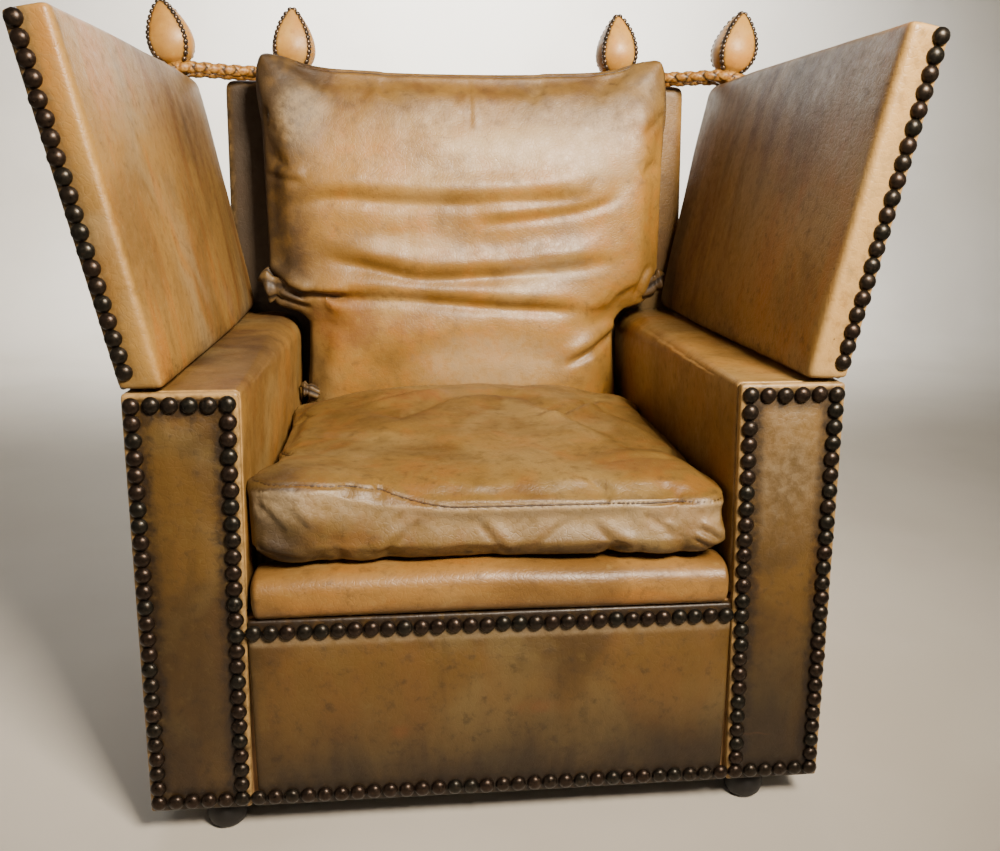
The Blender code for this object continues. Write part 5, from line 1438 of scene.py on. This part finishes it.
# Where the face is waxed, with painted sheen, and where it is stained: middle x and z, half width,
# half height and strength
PILLOW_WAX_AND_SHEEN = (
    (0.12, 0.915, 0.20, 0.050, 0.9), (0.25, 0.885, 0.09, 0.040, 0.7), (-0.28, 0.96, 0.07, 0.08, 0.6),
    (-0.10, 0.745, 0.12, 0.030, 0.8), (0.05, 0.530, 0.20, 0.080, 0.9), (0.16, 0.70, 0.14, 0.03, 0.6),
)
PILLOW_STAINS = ((-0.216, 0.611, 0.085, 0.080, 1.0), (-0.10, 0.600, 0.07, 0.05, 0.5))
mark(pillow, "wax_and_sheen", face * dabs(flat, PILLOW_WAX_AND_SHEEN))
mark(pillow, "stain", dabs(flat, PILLOW_STAINS))
# Painted shade: the top, the left side and the faces turned from the front are darker
on_top = ease(0.3, 0.8, normal[:, 2])
pillow_shade = 0.55 * ease(0.880, 1.000, co[:, 2]) + 0.95 * ease(0.20, 0.33, -co[:, 0])
mark(pillow, "smoke_and_shade", pillow_shade + 0.35 * (1 - face) * (1 - on_top))
# A short scratch near the top right corner
scratched = ease(0.004, 0.001, np.abs(flat[:, 1] - 1.022))
scratched *= ease(0.012, 0.005, np.abs(flat[:, 0] - 0.267))
seamed = 0.6 * ease(0.0020, 0.0008, pillow_gap)
# Fold creases are painted darker: painted shade
mark(pillow, "grime_and_shade", seamed + 0.45 * creased + 0.6 * scratched)
pillow_welt = stitching("pillow_seam", pillow, pillow_seam, WELT_RADIUS)


PLEATS, EAR_COLUMNS, EAR_ROWS, EAR_SMOKE = 5, 40, 84, 0.80


def gathered(name, root, tip, tall, deep, seed):
    """An ear of leather, which a cushion's corner is folded into. Its pleats fan out from its
    root, where it is tucked in, to its rolled rim."""
    root, tip = Vector(root), Vector(tip)
    run = (tip - root).normalized()
    upright = (Vector((0, 0, 1)) - run * run.z).normalized()
    outward = run.cross(upright)
    bm = bmesh.new()
    grime_and_shade, smoke_and_shade = marks(bm, "grime_and_shade", "smoke_and_shade")

    def place(u, v):
        """u runs from the root to the tip and v round the ear."""
        turn = 2 * math.pi * v
        ends = math.sqrt(max(min(u / 0.10, 1) * min((1 - u) / 0.14, 1), 0))
        waist = 0.22 * math.exp(-(((u - 0.70) / 0.09) ** 2))
        girth = ends * (between(0.60, 1.0, u) - waist)
        girth *= 1 + (0.06 + 0.09 * u) * math.cos(PLEATS * turn + seed)
        girth *= 1 + 0.18 * noise.noise(Vector((2.5 * u, math.cos(turn), math.sin(turn) + seed)))
        slant = tall * 0.35 * math.sin(turn) * u
        return (
            root.lerp(tip, u) + run * slant
            + upright * tall * girth * math.sin(turn) + outward * deep * girth * math.cos(turn)
        )

    for v in lay_cells(bm, EAR_COLUMNS, EAR_ROWS, place):
        off = v.co - root
        turn = math.atan2(off.dot(upright) / tall, off.dot(outward) / deep)
        # The pleats' hollows are painted dark: painted shade
        v[grime_and_shade] = 0.9 * smooth_step(-0.2, 0.9, -math.cos(PLEATS * turn + seed))
        v[smoke_and_shade] = EAR_SMOKE
    close(bm)
    return new_piece(name, bm, PILLOW_HIDE)


# Each ear's name, root and tip, half height, half depth and seed
ears = [
    gathered("pillow_ear_left", (-0.285, 0.212, 0.652), (-0.364, 0.220, 0.674), 0.030, 0.015, 1.0),
    gathered("pillow_ear_right", (0.324, 0.214, 0.650), (0.372, 0.222, 0.680), 0.023, 0.014, 2.5),
    gathered("pillow_corner_left", (-0.268, 0.208, 0.468), (-0.301, 0.208, 0.482), 0.015, 0.012, 0.5),
]
for piece in (pillow, pillow_welt, *ears):
    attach(piece, "back_cushion")
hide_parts("back_cushion")


# Studio: a round room whose pale floor sweeps up into a pale wall all round, a soft key light
# above and to the right of the camera, a weak fill from the left, and soft lights above and behind
ROOM_RADIUS, SWEEP_RADIUS, WALL_TOP_Z, ROOM_SIDES, SWEEP_STEPS = 4.6, 0.8, 4.0, 96, 12
# Pale floor paint: warm, matt and faintly clouded
pale_paint, tree, shader, place = start_material("pale_floor_paint")
clouds = put(tree, "TexNoise", {}, {"Vector": place, "Scale": 2.0, "Detail": 4.0})
connect(tree, shader, {
    "Base Color": layered(tree, linear("#C9C3B8"), ((clouds, 0.4, 0.7, 0.5, "#BDB6AA"),)),
    "Roughness": 0.7,
})
profile = [(0, 0), (ROOM_RADIUS - SWEEP_RADIUS, 0)]
for i in range(1, SWEEP_STEPS + 1):
    turn = math.pi / 2 * i / SWEEP_STEPS
    out = ROOM_RADIUS - SWEEP_RADIUS * (1 - math.sin(turn))
    profile.append((out, SWEEP_RADIUS * (1 - math.cos(turn))))
profile.append((ROOM_RADIUS, WALL_TOP_Z))
bm = spun(profile, ROOM_SIDES)
bm.normal_update()
if sum(f.normal.z for f in bm.faces) < 0:
    bmesh.ops.reverse_faces(bm, faces=bm.faces)
room = new_piece("studio_floor", bm, pale_paint)


def softbox(name, place, target, size, power, colour, spread=180):
    """A square area light aimed at a point."""
    lamp = bpy.data.lights.new(name, "AREA")
    lamp.shape = "SQUARE"
    lamp.size, lamp.energy, lamp.color = size, power, linear(colour)[:3]
    lamp.spread = math.radians(spread)
    lamp_object = bpy.data.objects.new(name, lamp)
    aim = (Vector(target) - Vector(place)).to_track_quat("-Z", "Y").to_matrix().to_4x4()
    lamp_object.matrix_world = Matrix.Translation(place) @ aim
    lamp_object.visible_camera = False
    bpy.context.scene.collection.objects.link(lamp_object)


softbox("key", (0.80, -1.95, 2.05), (0, 0, 1.02), 0.6, 53, "#FFF0DC", 78)
softbox("fill", (-1.9, -1.8, 1.3), (0, 0, 0.6), 1.6, 1.6, "#EAF0FF")
softbox("top", (0.0, 0.1, 2.9), (0, 0.1, 0), 1.6, 1.5, "#FFFFFF")
softbox("back", (-0.9, 2.4, 2.4), (0, 0.4, 0.6), 1.2, 9, "#FFFFFF", 120)
softbox("wall_wash", (0.2, 2.6, 3.0), (0.2, ROOM_RADIUS, 1.0), 2.2, 260, "#FFFFFF", 120)
world = bpy.data.worlds.new("soft_room")
bpy.context.scene.world = world
world.use_nodes = True
world.node_tree.nodes["Background"].inputs["Color"].default_value = linear("#E6E9EE")
world.node_tree.nodes["Background"].inputs["Strength"].default_value = 0.05
